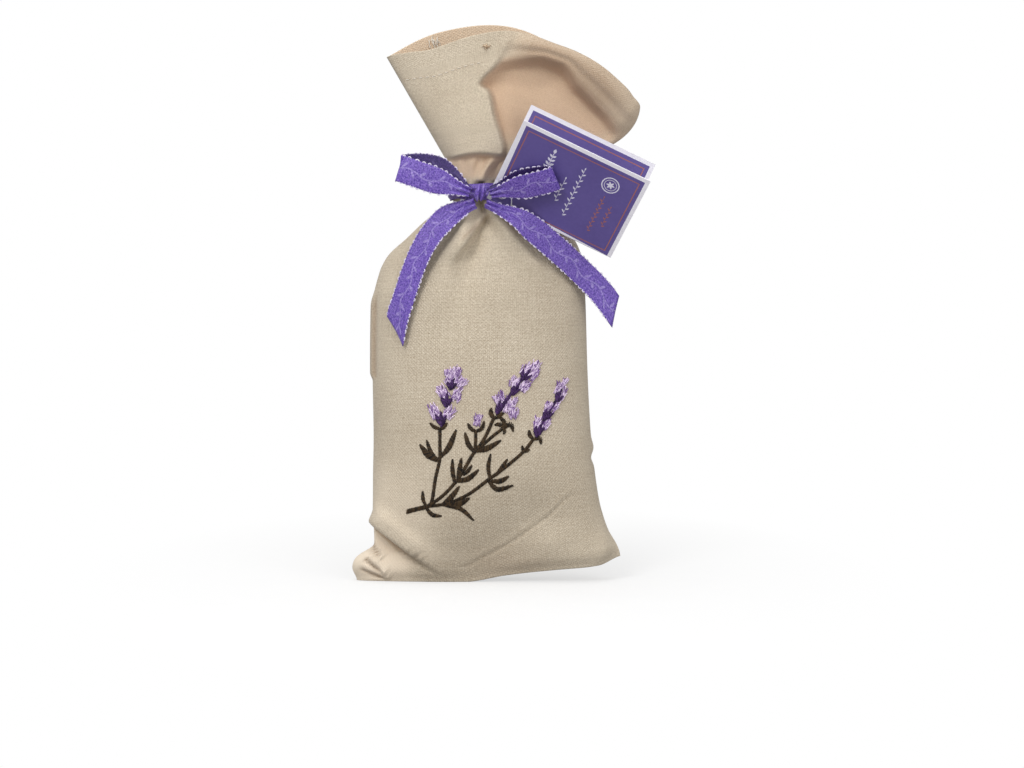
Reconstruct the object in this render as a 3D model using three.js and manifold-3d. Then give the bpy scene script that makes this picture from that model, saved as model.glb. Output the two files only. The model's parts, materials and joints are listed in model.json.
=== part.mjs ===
// Lavender sachet: a cloth bag of dried lavender, tied at the neck with a ribbon bow that also holds
// a folded paper label. Lavender sprigs are embroidered on the front.
// Millimetres, +Z up. The front faces -Y, and the origin is the middle of the foot.
import * as THREE from "three";
import { mergeVertices } from "three/addons/utils/BufferGeometryUtils.js";
import Module from "manifold-3d";

const wasm = await Module();
wasm.setup();

const { clamp, lerp, smoothstep, degToRad } = THREE.MathUtils;

// Cloth, thread and clearance
const CLOTH = 0.6;
const CLEARANCE = 0.3;
const THREAD = 0.5;
const THREAD_LIFT = 0.1;
const SEAM_THICKNESS = 0.8;
const SEAM_ALLOWANCE = 3;

// Bag below the tie: heights, half widths, front-to-back half depths and sideways shifts of its sections
const FOOT_HALF_WIDTH = 49.4;
const FOOT_DEPTH = 6.5;
const EAR_HEIGHT = 6;
const EAR_HALF_WIDTH = 50.1;
const EAR_DEPTH = 11;
const EAR_SHIFT = -0.9;
const EAR_TOP_HEIGHT = 14;
const EAR_TOP_HALF_WIDTH = 45.4;
const EAR_TOP_DEPTH = 14.2;
const EAR_TOP_SHIFT = 1.5;
const LOWER_HEIGHT = 25;
const LOWER_HALF_WIDTH = 44.6;
const LOWER_DEPTH = 17;
const LOWER_SHIFT = -0.3;
const BELLY_HEIGHT = 56;
const BELLY_HALF_WIDTH = 41.8;
const BELLY_DEPTH = 19.9;
const BELLY_SHIFT = -2;
const SHOULDER_HEIGHT = 108;
const SHOULDER_HALF_WIDTH = 40.7;
const SHOULDER_DEPTH = 18.8;
const SHOULDER_SHIFT = -3.1;
const SLOPE_TOP_DROP = 26;
const SLOPE_TOP_HALF_WIDTH = 37.6;
const SLOPE_TOP_DEPTH = 15.8;
const SLOPE_TOP_SHIFT = -1.4;
const SLOPE_MIDDLE_HALF_WIDTH = 32;
const SLOPE_MIDDLE_DEPTH = 13.9;
const SLOPE_MIDDLE_SHIFT = 1;
const SLOPE_FOOT_DROP = 10;
const SLOPE_FOOT_HALF_WIDTH = 21.2;
const SLOPE_FOOT_DEPTH = 11.4;
const SLOPE_FOOT_SHIFT = -1.2;
const BODY_SHIFT = -2.5;

// Long crease at the lower right of the front
const CREASE_START_X = -8.8;
const CREASE_START_Z = 2.5;
const CREASE_END_X = 34.2;
const CREASE_END_Z = 35;
const CREASE_DEPTH = 3.2;
const CREASE_REACH_ABOVE = 24;
const CREASE_REACH_BELOW = 15;

// Tuck at the lower left of the front, where the filled bag rolls over its ear
const TUCK_START_X = -45;
const TUCK_START_Z = 24;
const TUCK_END_X = -20;
const TUCK_END_Z = 5;
const TUCK_DEPTH = 5;
const TUCK_REACH = 15;
const TUCK_EDGE = 5;
const TUCK_ROLL = 2.4;
const TUCK_ROLL_WIDTH = 5;

// Fold laid over under the bow
const FOLD_START_X = -15;
const FOLD_START_DROP = 27;
const FOLD_END_X = -3.5;
const FOLD_END_DROP = 9;
const FOLD_HEIGHT = 5;
const FOLD_WIDTH = 4.5;

// Tied neck
const TIE_HEIGHT = 150;
const NECK_RADIUS = 10.5;
const NECK_HALF_HEIGHT = 3.5;
const GATHERS = 6;
const GATHER_DEPTH = 0.9;
const GATHER_REACH = 26;

// Ruff above the tie, a fan of cloth that is open at the top
const RUFF_LEFT_LENGTH = 54.2;
const RUFF_CROWN_LENGTH = 61;
const RUFF_HOLLOW_LENGTH = 59.6;
const RUFF_RIGHT_LENGTH = 64;
const RUFF_LEFT_ANGLE = -30;
const RUFF_RIGHT_ANGLE = 86;
const RUFF_LEFT_BEND = 7;
const RUFF_BEND = 12;
const RUFF_CURL = 0.95;
const RUFF_CURL_POWER = 3.5;
const RIM_DEPTH = 8.9;
const RIM_BACK_DEPTH = 8.7;
const FRONT_RIM_DROP = 5.7;
const RIM_BAND = 9.5;
const RIM_ROLL = 2.2;
const RIM_EDGE = 5;
const FLAP_FOOT = 10;
const FLAP_EDGE = 2.5;
const FLAP_LIFT = 4.2;
const FLAP_FOOT_PLACE = 0.36;
const FLAP_TOP_PLACE = -0.12;
const HOLLOW_DEPTH = 8;

// Filling
const FILL_TOP_DROP = 14;
const FILL_SLACK = 0.7;
const FILL_REACH = 3;

// Ribbon and its bow
const RIBBON_WIDTH = 10;
const RIBBON_THICKNESS = 0.4;
const BAND_HALF_HEIGHT = 2.8;
const BAND_THICKNESS = 0.8;
const TIE_RADIUS = 1.3;
const KNOT_WIDTH = 6.8;
const KNOT_DEPTH = 6;
const KNOT_HEIGHT = 7.2;
const LOOP_GAP = 3.2;
const LOOP_ROOT_GAP = 1.4;
const LEFT_LOOP_LENGTH = 28;
const LEFT_LOOP_RISE = 19;
const LEFT_LOOP_FORWARD = 8;
const RIGHT_LOOP_LENGTH = 27;
const RIGHT_LOOP_RISE = 44;
const LEFT_TAIL_DROP = 52.6;
const LEFT_TAIL_CUT = 4.6;
const RIGHT_TAIL_DROP = 45.6;
const RIGHT_TAIL_CUT = 3.8;
const TAIL_STEP = 0.5;

// Folded label
const LABEL_LENGTH = 52;
const LABEL_WIDTH = 39;
const LABEL_THICKNESS = 0.4;
const LABEL_SLOPE = 25.7;
const LABEL_OPENING = 34;
const LABEL_STANDOFF = 3;
const LABEL_HOLE_INSET = 4.5;
const LABEL_HOLE_SIDE = 8.3;
const LABEL_HOLE_RADIUS = 2.2;
const LABEL_NOTCH = 9.5;

// Embroidery: the place where its stems meet, and the length of one unit of its drawing
const SPRIG_X = -23;
const SPRIG_Z = 29.6;
const SPRIG_UNIT = 1;
const STEM_WIDTH = 1.5;
const LEAF_WIDTH = 2.2;
const LEAF_SINK = 0.06;
const CALYX_WIDTH = 3.4;

// Mesh fineness
const PANEL_COLUMNS = 30;
const FLOOR_ROWS = 2;
const RUFF_ROWS = 13;
const FILL_POINTS = 17;
const BAND_SIDES = 32;
const LOOP_STEPS = 18;
const TAIL_STEPS = 14;
const LEAF_STEPS = 5;
const SPIKE_STEPS = 12;

const panelEdge = SEAM_THICKNESS / 2 + CLEARANCE;
const neckFoot = TIE_HEIGHT - NECK_HALF_HEIGHT;
const neckTop = TIE_HEIGHT + NECK_HALF_HEIGHT;
const neckDepth = NECK_RADIUS - panelEdge - CLOTH;
const neckReach = Math.hypot(NECK_RADIUS, panelEdge + CLOTH) + GATHER_DEPTH;
const bandInner = neckReach + CLEARANCE;
const bandOuter = bandInner + BAND_THICKNESS;

// Closed meshes from grids and loops of points
function closedMesh(points, index) {
  const geometry = new THREE.BufferGeometry();
  const numbers = points.flatMap((p) => [p.x, p.y, p.z]);
  geometry.setAttribute("position", new THREE.Float32BufferAttribute(numbers, 3));
  let volume = 0;
  for (let i = 0; i < index.length; i += 3) {
    const [a, b, c] = [points[index[i]], points[index[i + 1]], points[index[i + 2]]];
    volume += a.dot(b.clone().cross(c));
  }
  if (volume < 0) {
    index.reverse();
  }
  geometry.setIndex(index);
  geometry.computeVertexNormals();
  return geometry;
}

// A sheet between two grids of points that face each other, each quad split along its shorter diagonal.
function closedSheet(outer, inner) {
  const rows = outer.length;
  const columns = outer[0].length;
  const index = [];
  const at = (layer, i, j) => (layer * rows + i) * columns + j;
  const quad = (a, b, c, d) => index.push(a, b, c, a, c, d);
  for (let i = 0; i < rows - 1; i += 1) {
    for (let j = 0; j < columns - 1; j += 1) {
      const corners = [[i, j], [i, j + 1], [i + 1, j + 1], [i + 1, j]];
      const [a, b, c, d] = corners.map(([row, column]) => outer[row][column]);
      if (a.distanceTo(c) > b.distanceTo(d)) {
        corners.push(corners.shift());
      }
      const [p, q, r, s] = corners;
      quad(at(0, ...p), at(0, ...q), at(0, ...r), at(0, ...s));
      quad(at(1, ...p), at(1, ...s), at(1, ...r), at(1, ...q));
    }
    const last = columns - 1;
    quad(at(0, i, 0), at(0, i + 1, 0), at(1, i + 1, 0), at(1, i, 0));
    quad(at(1, i, last), at(1, i + 1, last), at(0, i + 1, last), at(0, i, last));
  }
  for (let j = 0; j < columns - 1; j += 1) {
    const last = rows - 1;
    quad(at(1, 0, j), at(1, 0, j + 1), at(0, 0, j + 1), at(0, 0, j));
    quad(at(0, last, j), at(0, last, j + 1), at(1, last, j + 1), at(1, last, j));
  }
  return closedMesh([...outer.flat(), ...inner.flat()], index);
}

// A solid through loops of points: capped at both ends, or joined end to end as a ring.
function closedLoft(loops, ring = false) {
  const size = loops[0].length;
  const points = loops.flat();
  const index = [];
  const spans = ring ? loops.length : loops.length - 1;
  for (let i = 0; i < spans; i += 1) {
    const next = (i + 1) % loops.length;
    for (let j = 0; j < size; j += 1) {
      const [a, b] = [i * size + j, i * size + ((j + 1) % size)];
      const [c, d] = [next * size + ((j + 1) % size), next * size + j];
      index.push(a, b, c, a, c, d);
    }
  }
  if (!ring) {
    for (const end of [0, loops.length - 1]) {
      const middle = points.length;
      points.push(loops[end].reduce((sum, p) => sum.add(p), new THREE.Vector3()).divideScalar(size));
      for (let j = 0; j < size; j += 1) {
        const [a, b] = [end * size + j, end * size + ((j + 1) % size)];
        index.push(...(end === 0 ? [middle, b, a] : [middle, a, b]));
      }
    }
  }
  return closedMesh(points, index);
}

function toSolid(geometry) {
  const bare = new THREE.BufferGeometry().setAttribute("position", geometry.getAttribute("position"));
  bare.setIndex(geometry.index);
  const merged = mergeVertices(bare, 1e-3);
  const vertProperties = new Float32Array(merged.getAttribute("position").array);
  const triVerts = new Uint32Array(merged.index.array);
  return new wasm.Manifold(new wasm.Mesh({ numProp: 3, vertProperties, triVerts }));
}

function joined(geometries) {
  const solid = geometries.map(toSolid).reduce((sum, next) => sum.add(next));
  const mesh = solid.getMesh();
  const geometry = new THREE.BufferGeometry();
  geometry.setAttribute("position", new THREE.BufferAttribute(mesh.vertProperties, 3));
  geometry.setIndex(new THREE.BufferAttribute(mesh.triVerts, 1));
  geometry.computeVertexNormals();
  return geometry;
}

// A curve through values at rising places that stays between neighbouring values.
function curveThrough(places, values) {
  const rise = (i) => (values[i + 1] - values[i]) / (places[i + 1] - places[i]);
  const last = places.length - 2;
  const slopes = values.map((value, i) => {
    const product = i > 0 && i <= last ? rise(i - 1) * rise(i) : 0;
    return product > 0 ? (2 * product) / (rise(i - 1) + rise(i)) : 0;
  });
  return (at) => {
    const found = places.findIndex((place, i) => i <= last && at <= places[i + 1]);
    const i = found < 0 ? last : found;
    const span = places[i + 1] - places[i];
    const u = clamp((at - places[i]) / span, 0, 1);
    const value = values[i] * (1 - u) ** 2 * (1 + 2 * u) + values[i + 1] * u ** 2 * (3 - 2 * u);
    return value + span * (slopes[i] * u * (1 - u) ** 2 - slopes[i + 1] * u ** 2 * (1 - u));
  };
}

// Bag sections below the tie, each with the number of rows up to the next one
function section(z, halfWidth, depth, centre, point, rows) {
  return { z, halfWidth, depth, centre, point, rows };
}

const slopeTop = TIE_HEIGHT - SLOPE_TOP_DROP;
const slopeFoot = TIE_HEIGHT - SLOPE_FOOT_DROP;
const slopeMiddle = (slopeTop + slopeFoot) / 2;
const sections = [
  section(0, FOOT_HALF_WIDTH, FOOT_DEPTH, 0, 1.35, 2),
  section(EAR_HEIGHT, EAR_HALF_WIDTH, EAR_DEPTH, EAR_SHIFT, 1.3, 2),
  section(EAR_TOP_HEIGHT, EAR_TOP_HALF_WIDTH, EAR_TOP_DEPTH, EAR_TOP_SHIFT, 1.2, 2),
  section(LOWER_HEIGHT, LOWER_HALF_WIDTH, LOWER_DEPTH, LOWER_SHIFT, 1.1, 4),
  section(BELLY_HEIGHT, BELLY_HALF_WIDTH, BELLY_DEPTH, BELLY_SHIFT, 1, 5),
  section(SHOULDER_HEIGHT, SHOULDER_HALF_WIDTH, SHOULDER_DEPTH, SHOULDER_SHIFT, 0.95, 3),
  section(slopeTop, SLOPE_TOP_HALF_WIDTH, SLOPE_TOP_DEPTH, SLOPE_TOP_SHIFT, 1, 2),
  section(slopeMiddle, SLOPE_MIDDLE_HALF_WIDTH, SLOPE_MIDDLE_DEPTH, SLOPE_MIDDLE_SHIFT, 1, 2),
  section(slopeFoot, SLOPE_FOOT_HALF_WIDTH, SLOPE_FOOT_DEPTH, SLOPE_FOOT_SHIFT, 1, 2),
  section(neckFoot, NECK_RADIUS, neckDepth, BODY_SHIFT, 1, 1),
  section(neckTop, NECK_RADIUS, neckDepth, BODY_SHIFT, 1, 0),
];

const along = (key) => curveThrough(sections.map((row) => row.z), sections.map((row) => row[key]));
const halfWidth = along("halfWidth");
const depth = along("depth");
const pointedness = along("point");
const centre = along("centre");

// Heights of the rows of a panel from the foot to the top of the tied neck
const bodyRows = sections.slice(0, -1).flatMap((row, i) =>
  Array.from({ length: row.rows }, (_, step) => lerp(row.z, sections[i + 1].z, step / row.rows)),
);
bodyRows.push(neckTop);

const gatherAt = (distance) => GATHER_DEPTH * (1 - smoothstep(distance, 0, GATHER_REACH));
const gatherWave = (t) => Math.cos(GATHERS * Math.PI * (t + 1));

// Distance along a line on the front and to the upper side of it
function fromLine(x, z, start, end) {
  const way = end.clone().sub(start).normalize();
  const off = new THREE.Vector2(x, z).sub(start);
  return [off.dot(way), way.cross(off), end.distanceTo(start)];
}

const creaseStart = new THREE.Vector2(CREASE_START_X, CREASE_START_Z);
const creaseEnd = new THREE.Vector2(CREASE_END_X, CREASE_END_Z);
const tuckStart = new THREE.Vector2(TUCK_START_X, TUCK_START_Z);
const tuckEnd = new THREE.Vector2(TUCK_END_X, TUCK_END_Z);
const foldStart = new THREE.Vector2(FOLD_START_X, TIE_HEIGHT - FOLD_START_DROP);
const foldEnd = new THREE.Vector2(FOLD_END_X, TIE_HEIGHT - FOLD_END_DROP);
const bell = (distance, width) => Math.exp(-((distance / width) ** 2));

// 1 between two ends, with a soft rise and a soft fall
function between(value, [low, risen], [full, high]) {
  return smoothstep(value, low, risen) * (1 - smoothstep(value, full, high));
}

// How far the folds of the front draw the cloth in, or let it stand out, where it would be round.
function frontFolds(x, z, round) {
  const [run, above, length] = fromLine(x, z, creaseStart, creaseEnd);
  const ends = between(run / length, [-0.3, 0.15], [0.62, 1.05]);
  const upper = smoothstep(above, 0, CREASE_REACH_ABOVE);
  const lower = 0.75 * smoothstep(-above, 0, CREASE_REACH_BELOW);
  const crease = CREASE_DEPTH * ends * (1 - upper - lower);
  const [tuckRun, tuckAbove, tuckLength] = fromLine(x, z, tuckStart, tuckEnd);
  const under = between(-tuckAbove, [-TUCK_EDGE, TUCK_EDGE], [TUCK_EDGE, TUCK_REACH]);
  const tuckFade = 1 - smoothstep(tuckRun / tuckLength, 0.5, 1.1);
  const roll = TUCK_ROLL * bell(tuckAbove - TUCK_ROLL_WIDTH, TUCK_ROLL_WIDTH) * tuckFade;
  const [foldRun, foldOff, foldLength] = fromLine(x, z, foldStart, foldEnd);
  const foldEnds = between(foldRun / foldLength, [-0.2, 0.4], [0.8, 1.2]);
  const fold = FOLD_HEIGHT * foldEnds * bell(foldOff, FOLD_WIDTH);
  return crease + TUCK_DEPTH * under * tuckFade - (roll + fold) * smoothstep(round, 0, NECK_RADIUS / 2);
}

// How far a panel stands out from its edge. Side -1 is the front, whose folds count within a reach.
function bodyBulge(side, x, z, reach = 0) {
  const share = clamp((x - centre(z)) / halfWidth(z), -1, 1);
  const round = depth(z) * (1 - share ** 2) ** (pointedness(z) / 2);
  if (side > 0) {
    return round;
  }
  const near = [-reach, 0, reach];
  const folds = near.flatMap((across) => near.map((up) => frontFolds(x + across, z + up, round)));
  return round - Math.min(Math.max(...folds), 0.8 * round);
}

// A point of a panel: t runs from the left seam to the right seam.
function bodyPoint(side, t, z, inset) {
  const angle = (t * Math.PI) / 2;
  const gather = gatherAt(neckFoot - z) * gatherWave(t);
  const bulge = bodyBulge(side, centre(z) + halfWidth(z) * Math.sin(angle), z);
  const x = centre(z) + (halfWidth(z) + gather - inset) * Math.sin(angle);
  const y = panelEdge + CLOTH - inset + bulge + gather * Math.cos(angle);
  return new THREE.Vector3(x, side * y, Math.max(z, inset));
}

function floorPoint(side, t, share, inset) {
  const edge = bodyPoint(side, t, 0, inset);
  edge.y = side * lerp(panelEdge, Math.abs(edge.y), share);
  return edge;
}

// Ruff: the length of its back panel and the drop of its front rim, from the left seam to the right seam
const ruffLength = curveThrough(
  [-1, -0.2, 0.3, 1],
  [RUFF_LEFT_LENGTH, RUFF_CROWN_LENGTH, RUFF_HOLLOW_LENGTH, RUFF_RIGHT_LENGTH],
);
const rimDrop = curveThrough([-1, -0.66, 0.05, 1], [0, FRONT_RIM_DROP, 0, 0]);

const ruffAngle = (t, share, r) => {
  const spread = lerp(RUFF_LEFT_ANGLE, RUFF_RIGHT_ANGLE, (t + 1) / 2);
  const bend = lerp(RUFF_LEFT_BEND, RUFF_BEND, smoothstep(t, -1, 0.2));
  const curl = RUFF_CURL * Math.max(t, 0) * share ** RUFF_CURL_POWER;
  return degToRad(spread * smoothstep(r, 0, bend) * (1 - curl));
};

// The front of the ruff: a flat flap at the left, a hollow beside it and a rolled rim over the hollow.
function ruffDepth(side, t, r, length) {
  const share = r / length;
  const across = Math.max(Math.cos((t * Math.PI) / 2), 0);
  const rim = side < 0 ? RIM_DEPTH : RIM_BACK_DEPTH;
  const open = lerp(neckDepth, rim, smoothstep(share, 0, 1));
  const round = open * across ** lerp(0.5, 0.75, smoothstep(t, -0.2, 0.2));
  if (side > 0) {
    return round;
  }
  const edge = lerp(FLAP_FOOT_PLACE, FLAP_TOP_PLACE, smoothstep(share, 0.1, 0.7));
  const beyond = smoothstep(t, edge - 0.05, edge + 0.13);
  const hung = smoothstep(r, FLAP_FOOT - FLAP_EDGE, FLAP_FOOT + FLAP_EDGE);
  const flap = FLAP_LIFT * hung * (1 - 0.75 * smoothstep(share, 0.3, 0.95)) * (1 - beyond);
  const arch = length - RIM_BAND;
  const under = smoothstep(share, 0.16, 0.4) * (1 - smoothstep(r, arch - RIM_EDGE, arch + RIM_EDGE / 2));
  const hollow = HOLLOW_DEPTH * beyond * (1 - smoothstep(t, 0.74, 0.98)) * under;
  const band = clamp((r - arch) / RIM_BAND, 0, 1);
  const roll = RIM_ROLL * beyond * (1 - smoothstep(t, 0.85, 1)) * Math.sin(Math.PI * band ** 0.8);
  const ripple = gatherAt(r) * gatherWave(t) * across;
  return Math.max(round + flap * Math.sqrt(across) - hollow + roll + ripple, 0.3 * across);
}

// One column of a panel from the bottom seam to the mouth, in points.
function panelColumn(side, t, inset) {
  const column = [];
  for (let i = 0; i < FLOOR_ROWS; i += 1) {
    column.push(floorPoint(side, t, i / FLOOR_ROWS, inset));
  }
  column.push(...bodyRows.map((z) => bodyPoint(side, t, z, inset)));
  const foot = column[column.length - 1];
  const length = ruffLength(t) - (side < 0 ? rimDrop(t) : 0);
  const step = length / RUFF_ROWS;
  let [x, z] = [foot.x, foot.z];
  for (let i = 1; i <= RUFF_ROWS; i += 1) {
    const angle = ruffAngle(t, (i - 0.5) / RUFF_ROWS, (i - 0.5) * step);
    x += step * Math.sin(angle);
    z += step * Math.cos(angle);
    const y = panelEdge + CLOTH - inset + ruffDepth(side, t, i * step, length);
    column.push(new THREE.Vector3(x, side * y, z));
  }
  return column;
}

function panel(side) {
  const layer = (inset) => {
    const columns = [];
    for (let j = 0; j <= PANEL_COLUMNS; j += 1) {
      columns.push(panelColumn(side, (2 * j) / PANEL_COLUMNS - 1, inset));
    }
    return columns;
  };
  return closedSheet(layer(0), layer(CLOTH));
}

// Seams: the allowances that lie between the two panels
function sideSeam(t) {
  const edge = panelColumn(-1, t, 0).slice(FLOOR_ROWS).filter((p) => p.z > SEAM_ALLOWANCE + CLEARANCE);
  edge.unshift(bodyPoint(-1, t, SEAM_ALLOWANCE + CLEARANCE, 0));
  const face = (y) =>
    edge.map((p, i) => {
      const along = edge[Math.min(i + 1, edge.length - 1)].clone().sub(edge[Math.max(i - 1, 0)]);
      along.x *= Math.min(i / 3, 1);
      const inward = new THREE.Vector3(along.z, 0, -along.x).normalize().multiplyScalar(-t * SEAM_ALLOWANCE);
      const rim = new THREE.Vector3(p.x, y, p.z);
      return [rim, rim.clone().add(inward)];
    });
  return closedSheet(face(-SEAM_THICKNESS / 2), face(SEAM_THICKNESS / 2));
}

function bottomSeam() {
  const strip = new THREE.BoxGeometry(2 * FOOT_HALF_WIDTH, SEAM_THICKNESS, SEAM_ALLOWANCE);
  return strip.translate(0, 0, SEAM_ALLOWANCE / 2);
}

// Filling: follows the inside of both panels, clear of the side seams
function filling() {
  const [foot, top] = [SEAM_ALLOWANCE + CLEARANCE, TIE_HEIGHT - FILL_TOP_DROP];
  const loops = [foot, ...bodyRows.filter((z) => z > foot + 1 && z < top - 1), top].map((z) => {
    const gather = gatherAt(neckFoot - z);
    const sideEdge = (t, height) => centre(height) + t * halfWidth(height);
    const [left, right] = [-1, 1].map((t) => {
      const slope = sideEdge(t, z + 1) - sideEdge(t, z - 1);
      const seam = (SEAM_ALLOWANCE + CLEARANCE) * Math.hypot(1, slope / 2);
      return sideEdge(t, z) - t * (CLOTH + seam + gather);
    });
    return [-1, 1].flatMap((side) =>
      Array.from({ length: FILL_POINTS }, (_, j) => {
        const x = lerp(left, right, (1 + side * -Math.cos((j * Math.PI) / (FILL_POINTS - 1))) / 2);
        const y = Math.max(panelEdge + bodyBulge(side, x, z, FILL_REACH) - FILL_SLACK - gather, CLEARANCE);
        return new THREE.Vector3(x, side * y, z);
      }),
    );
  });
  return closedLoft(loops);
}

// Front face of the bag at a place, and its outward direction
function frontAt(x, z, lift = 0) {
  return new THREE.Vector3(x, -(panelEdge + CLOTH + bodyBulge(-1, x, z)) - lift, z);
}

function frontNormal(x, z) {
  const reach = 0.85 * halfWidth(z);
  const inside = clamp(x - centre(z), -reach, reach) + centre(z);
  const across = frontAt(inside + 1, z).sub(frontAt(inside - 1, z));
  const up = frontAt(inside, z + 1).sub(frontAt(inside, z - 1));
  return across.cross(up).normalize();
}

// A flat ribbon along a path: each stop has a place, a direction across and a width.
function ribbon(stops, thickness, cut = 0) {
  const loops = stops.map((stop, i) => {
    const before = stops[Math.max(i - 1, 0)].place;
    const after = stops[Math.min(i + 1, stops.length - 1)].place;
    const along = after.clone().sub(before).normalize();
    const across = stop.across.clone().addScaledVector(along, -stop.across.dot(along)).normalize();
    const normal = along.clone().cross(across).multiplyScalar(thickness / 2);
    const slant = i === stops.length - 1 ? along.multiplyScalar(cut) : new THREE.Vector3();
    const left = stop.place.clone().addScaledVector(across, -stop.width / 2).sub(slant);
    const right = stop.place.clone().addScaledVector(across, stop.width / 2).add(slant);
    return [left.clone().sub(normal), right.clone().sub(normal), right.add(normal), left.add(normal)];
  });
  return closedLoft(loops);
}

// Label frame: X along the fold, Z across the back leaf, origin at the hole
const labelY = -(bandOuter + LABEL_STANDOFF + LABEL_THICKNESS / 2);
const foldY = labelY - LABEL_THICKNESS - CLEARANCE;
const hole = new THREE.Vector3(BODY_SHIFT + LABEL_HOLE_SIDE, labelY, TIE_HEIGHT);
const labelTurn = new THREE.Quaternion().setFromAxisAngle(new THREE.Vector3(0, 1, 0), degToRad(LABEL_SLOPE));
const openTurn = new THREE.Quaternion().setFromAxisAngle(new THREE.Vector3(1, 0, 0), degToRad(LABEL_OPENING));
const leafTurn = labelTurn.clone().multiply(openTurn);
const fold = new THREE.Vector3(0, foldY - labelY, -LABEL_HOLE_INSET).applyQuaternion(labelTurn).add(hole);

// Knot, in front of the label's corner
const knot = new THREE.Vector3(BODY_SHIFT, labelY - LABEL_THICKNESS - CLEARANCE - KNOT_DEPTH / 2, TIE_HEIGHT);

function knotSolid() {
  const lump = new THREE.SphereGeometry(0.5, 16, 10).scale(KNOT_WIDTH, KNOT_DEPTH, KNOT_HEIGHT);
  lump.translate(knot.x, knot.y, knot.z);
  const behind = new THREE.Vector3(hole.x, -bandOuter - CLEARANCE, hole.z);
  const front = new THREE.Vector3(hole.x, foldY - TIE_RADIUS, hole.z);
  const path = new THREE.CurvePath();
  path.add(new THREE.LineCurve3(behind, front));
  const round = new THREE.Shape().absarc(0, 0, TIE_RADIUS, 0, 2 * Math.PI);
  const through = new THREE.ExtrudeGeometry(round, { curveSegments: 5, steps: 1, extrudePath: path });
  const side = new THREE.CurvePath();
  const beside = front.clone().setX(hole.x + TIE_RADIUS);
  side.add(new THREE.LineCurve3(beside, new THREE.Vector3(knot.x, front.y, knot.z)));
  const across = new THREE.ExtrudeGeometry(round, { curveSegments: 5, steps: 1, extrudePath: side });
  return joined([lump, through, across]);
}

function neckBand() {
  const loops = [];
  for (let i = 0; i < BAND_SIDES; i += 1) {
    const angle = (i / BAND_SIDES) * 2 * Math.PI;
    const corner = (radius, rise) =>
      new THREE.Vector3(BODY_SHIFT + radius * Math.cos(angle), radius * Math.sin(angle), TIE_HEIGHT + rise);
    loops.push([
      corner(bandInner, -BAND_HALF_HEIGHT),
      corner(bandOuter, -BAND_HALF_HEIGHT),
      corner(bandOuter, BAND_HALF_HEIGHT),
      corner(bandInner, BAND_HALF_HEIGHT),
    ]);
  }
  return closedLoft(loops, true);
}

// A bow loop in its own frame: X points away from the knot, Y through the loop, Z across the ribbon.
function bowLoop(length) {
  const stops = [];
  for (let i = 0; i <= LOOP_STEPS; i += 1) {
    const u = i / LOOP_STEPS;
    const x = (length * (1 - Math.cos(2 * Math.PI * u))) / 2;
    const open = (LOOP_GAP / 2) * Math.sin(2 * Math.PI * u) * Math.sqrt(x / length);
    const y = -open - LOOP_ROOT_GAP * (0.5 - u);
    const width = RIBBON_WIDTH * lerp(0.35, 1, smoothstep(x, 0, length * 0.55));
    stops.push({ place: new THREE.Vector3(x + CLEARANCE, y, 0), across: new THREE.Vector3(0, 0, 1), width });
  }
  return ribbon(stops, RIBBON_THICKNESS);
}

// A ribbon tail from the knot. Its stops are shares of its drop below the tie and of the bag's half width,
// and a lift off the cloth in ribbon widths.
function tail(root, drop, stops, cut) {
  const places = stops.map(([down, share, lift]) => {
    const z = TIE_HEIGHT - down * drop;
    return frontAt(centre(z) + share * halfWidth(z), z, lift * RIBBON_WIDTH);
  });
  const path = new THREE.CatmullRomCurve3([root, ...places], false, "centripetal");
  const line = [];
  for (let i = 0; i <= TAIL_STEPS; i += 1) {
    const u = i / TAIL_STEPS;
    const place = path.getPointAt(u);
    const along = path.getTangentAt(u);
    const face = frontNormal(place.x, place.z).lerp(new THREE.Vector3(0, -1, 0), 0.5);
    const width = RIBBON_WIDTH * lerp(0.32, 1, smoothstep(u, 0, 0.35));
    line.push({ place, across: along.cross(face).normalize(), width });
  }
  return ribbon(line, RIBBON_THICKNESS, cut).translate(-root.x, -root.y, -root.z);
}

const LEFT_TAIL_STOPS = [
  [0.18, -0.7, 0.82],
  [0.32, -0.73, 0.6],
  [0.6, -0.69, 0.24],
  [0.88, -0.75, 0.18],
  [1, -0.78, 0.18],
];
const RIGHT_TAIL_STOPS = [
  [0.18, 0.68, 1.37],
  [0.41, 0.68, 0.66],
  [0.54, 0.84, 0.54],
  [0.7, 1, 0.95],
  [0.85, 1.15, 0.79],
  [1, 1.28, 0.71],
];

// Label leaves, drawn in the label frame
function leaf(width, notched) {
  const outline = new THREE.Shape();
  if (notched) {
    outline.moveTo(LABEL_NOTCH, 0);
    outline.lineTo(LABEL_LENGTH, 0);
    outline.lineTo(LABEL_LENGTH, width);
    outline.lineTo(0, width);
    outline.lineTo(0, LABEL_NOTCH);
    outline.absarc(0, 0, LABEL_NOTCH, Math.PI / 2, 0, true);
  } else {
    outline.moveTo(0, 0);
    outline.lineTo(LABEL_LENGTH, 0);
    outline.lineTo(LABEL_LENGTH, width);
    outline.lineTo(0, width);
    const punched = new THREE.Path();
    punched.absarc(LABEL_HOLE_INSET, LABEL_HOLE_INSET, LABEL_HOLE_RADIUS, 0, 2 * Math.PI, true);
    outline.holes.push(punched);
  }
  const card = { depth: LABEL_THICKNESS, bevelEnabled: false, curveSegments: 8 };
  const plate = new THREE.ExtrudeGeometry(outline, card);
  return plate.rotateX(Math.PI / 2).translate(-LABEL_HOLE_INSET, LABEL_THICKNESS / 2, 0);
}

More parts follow.
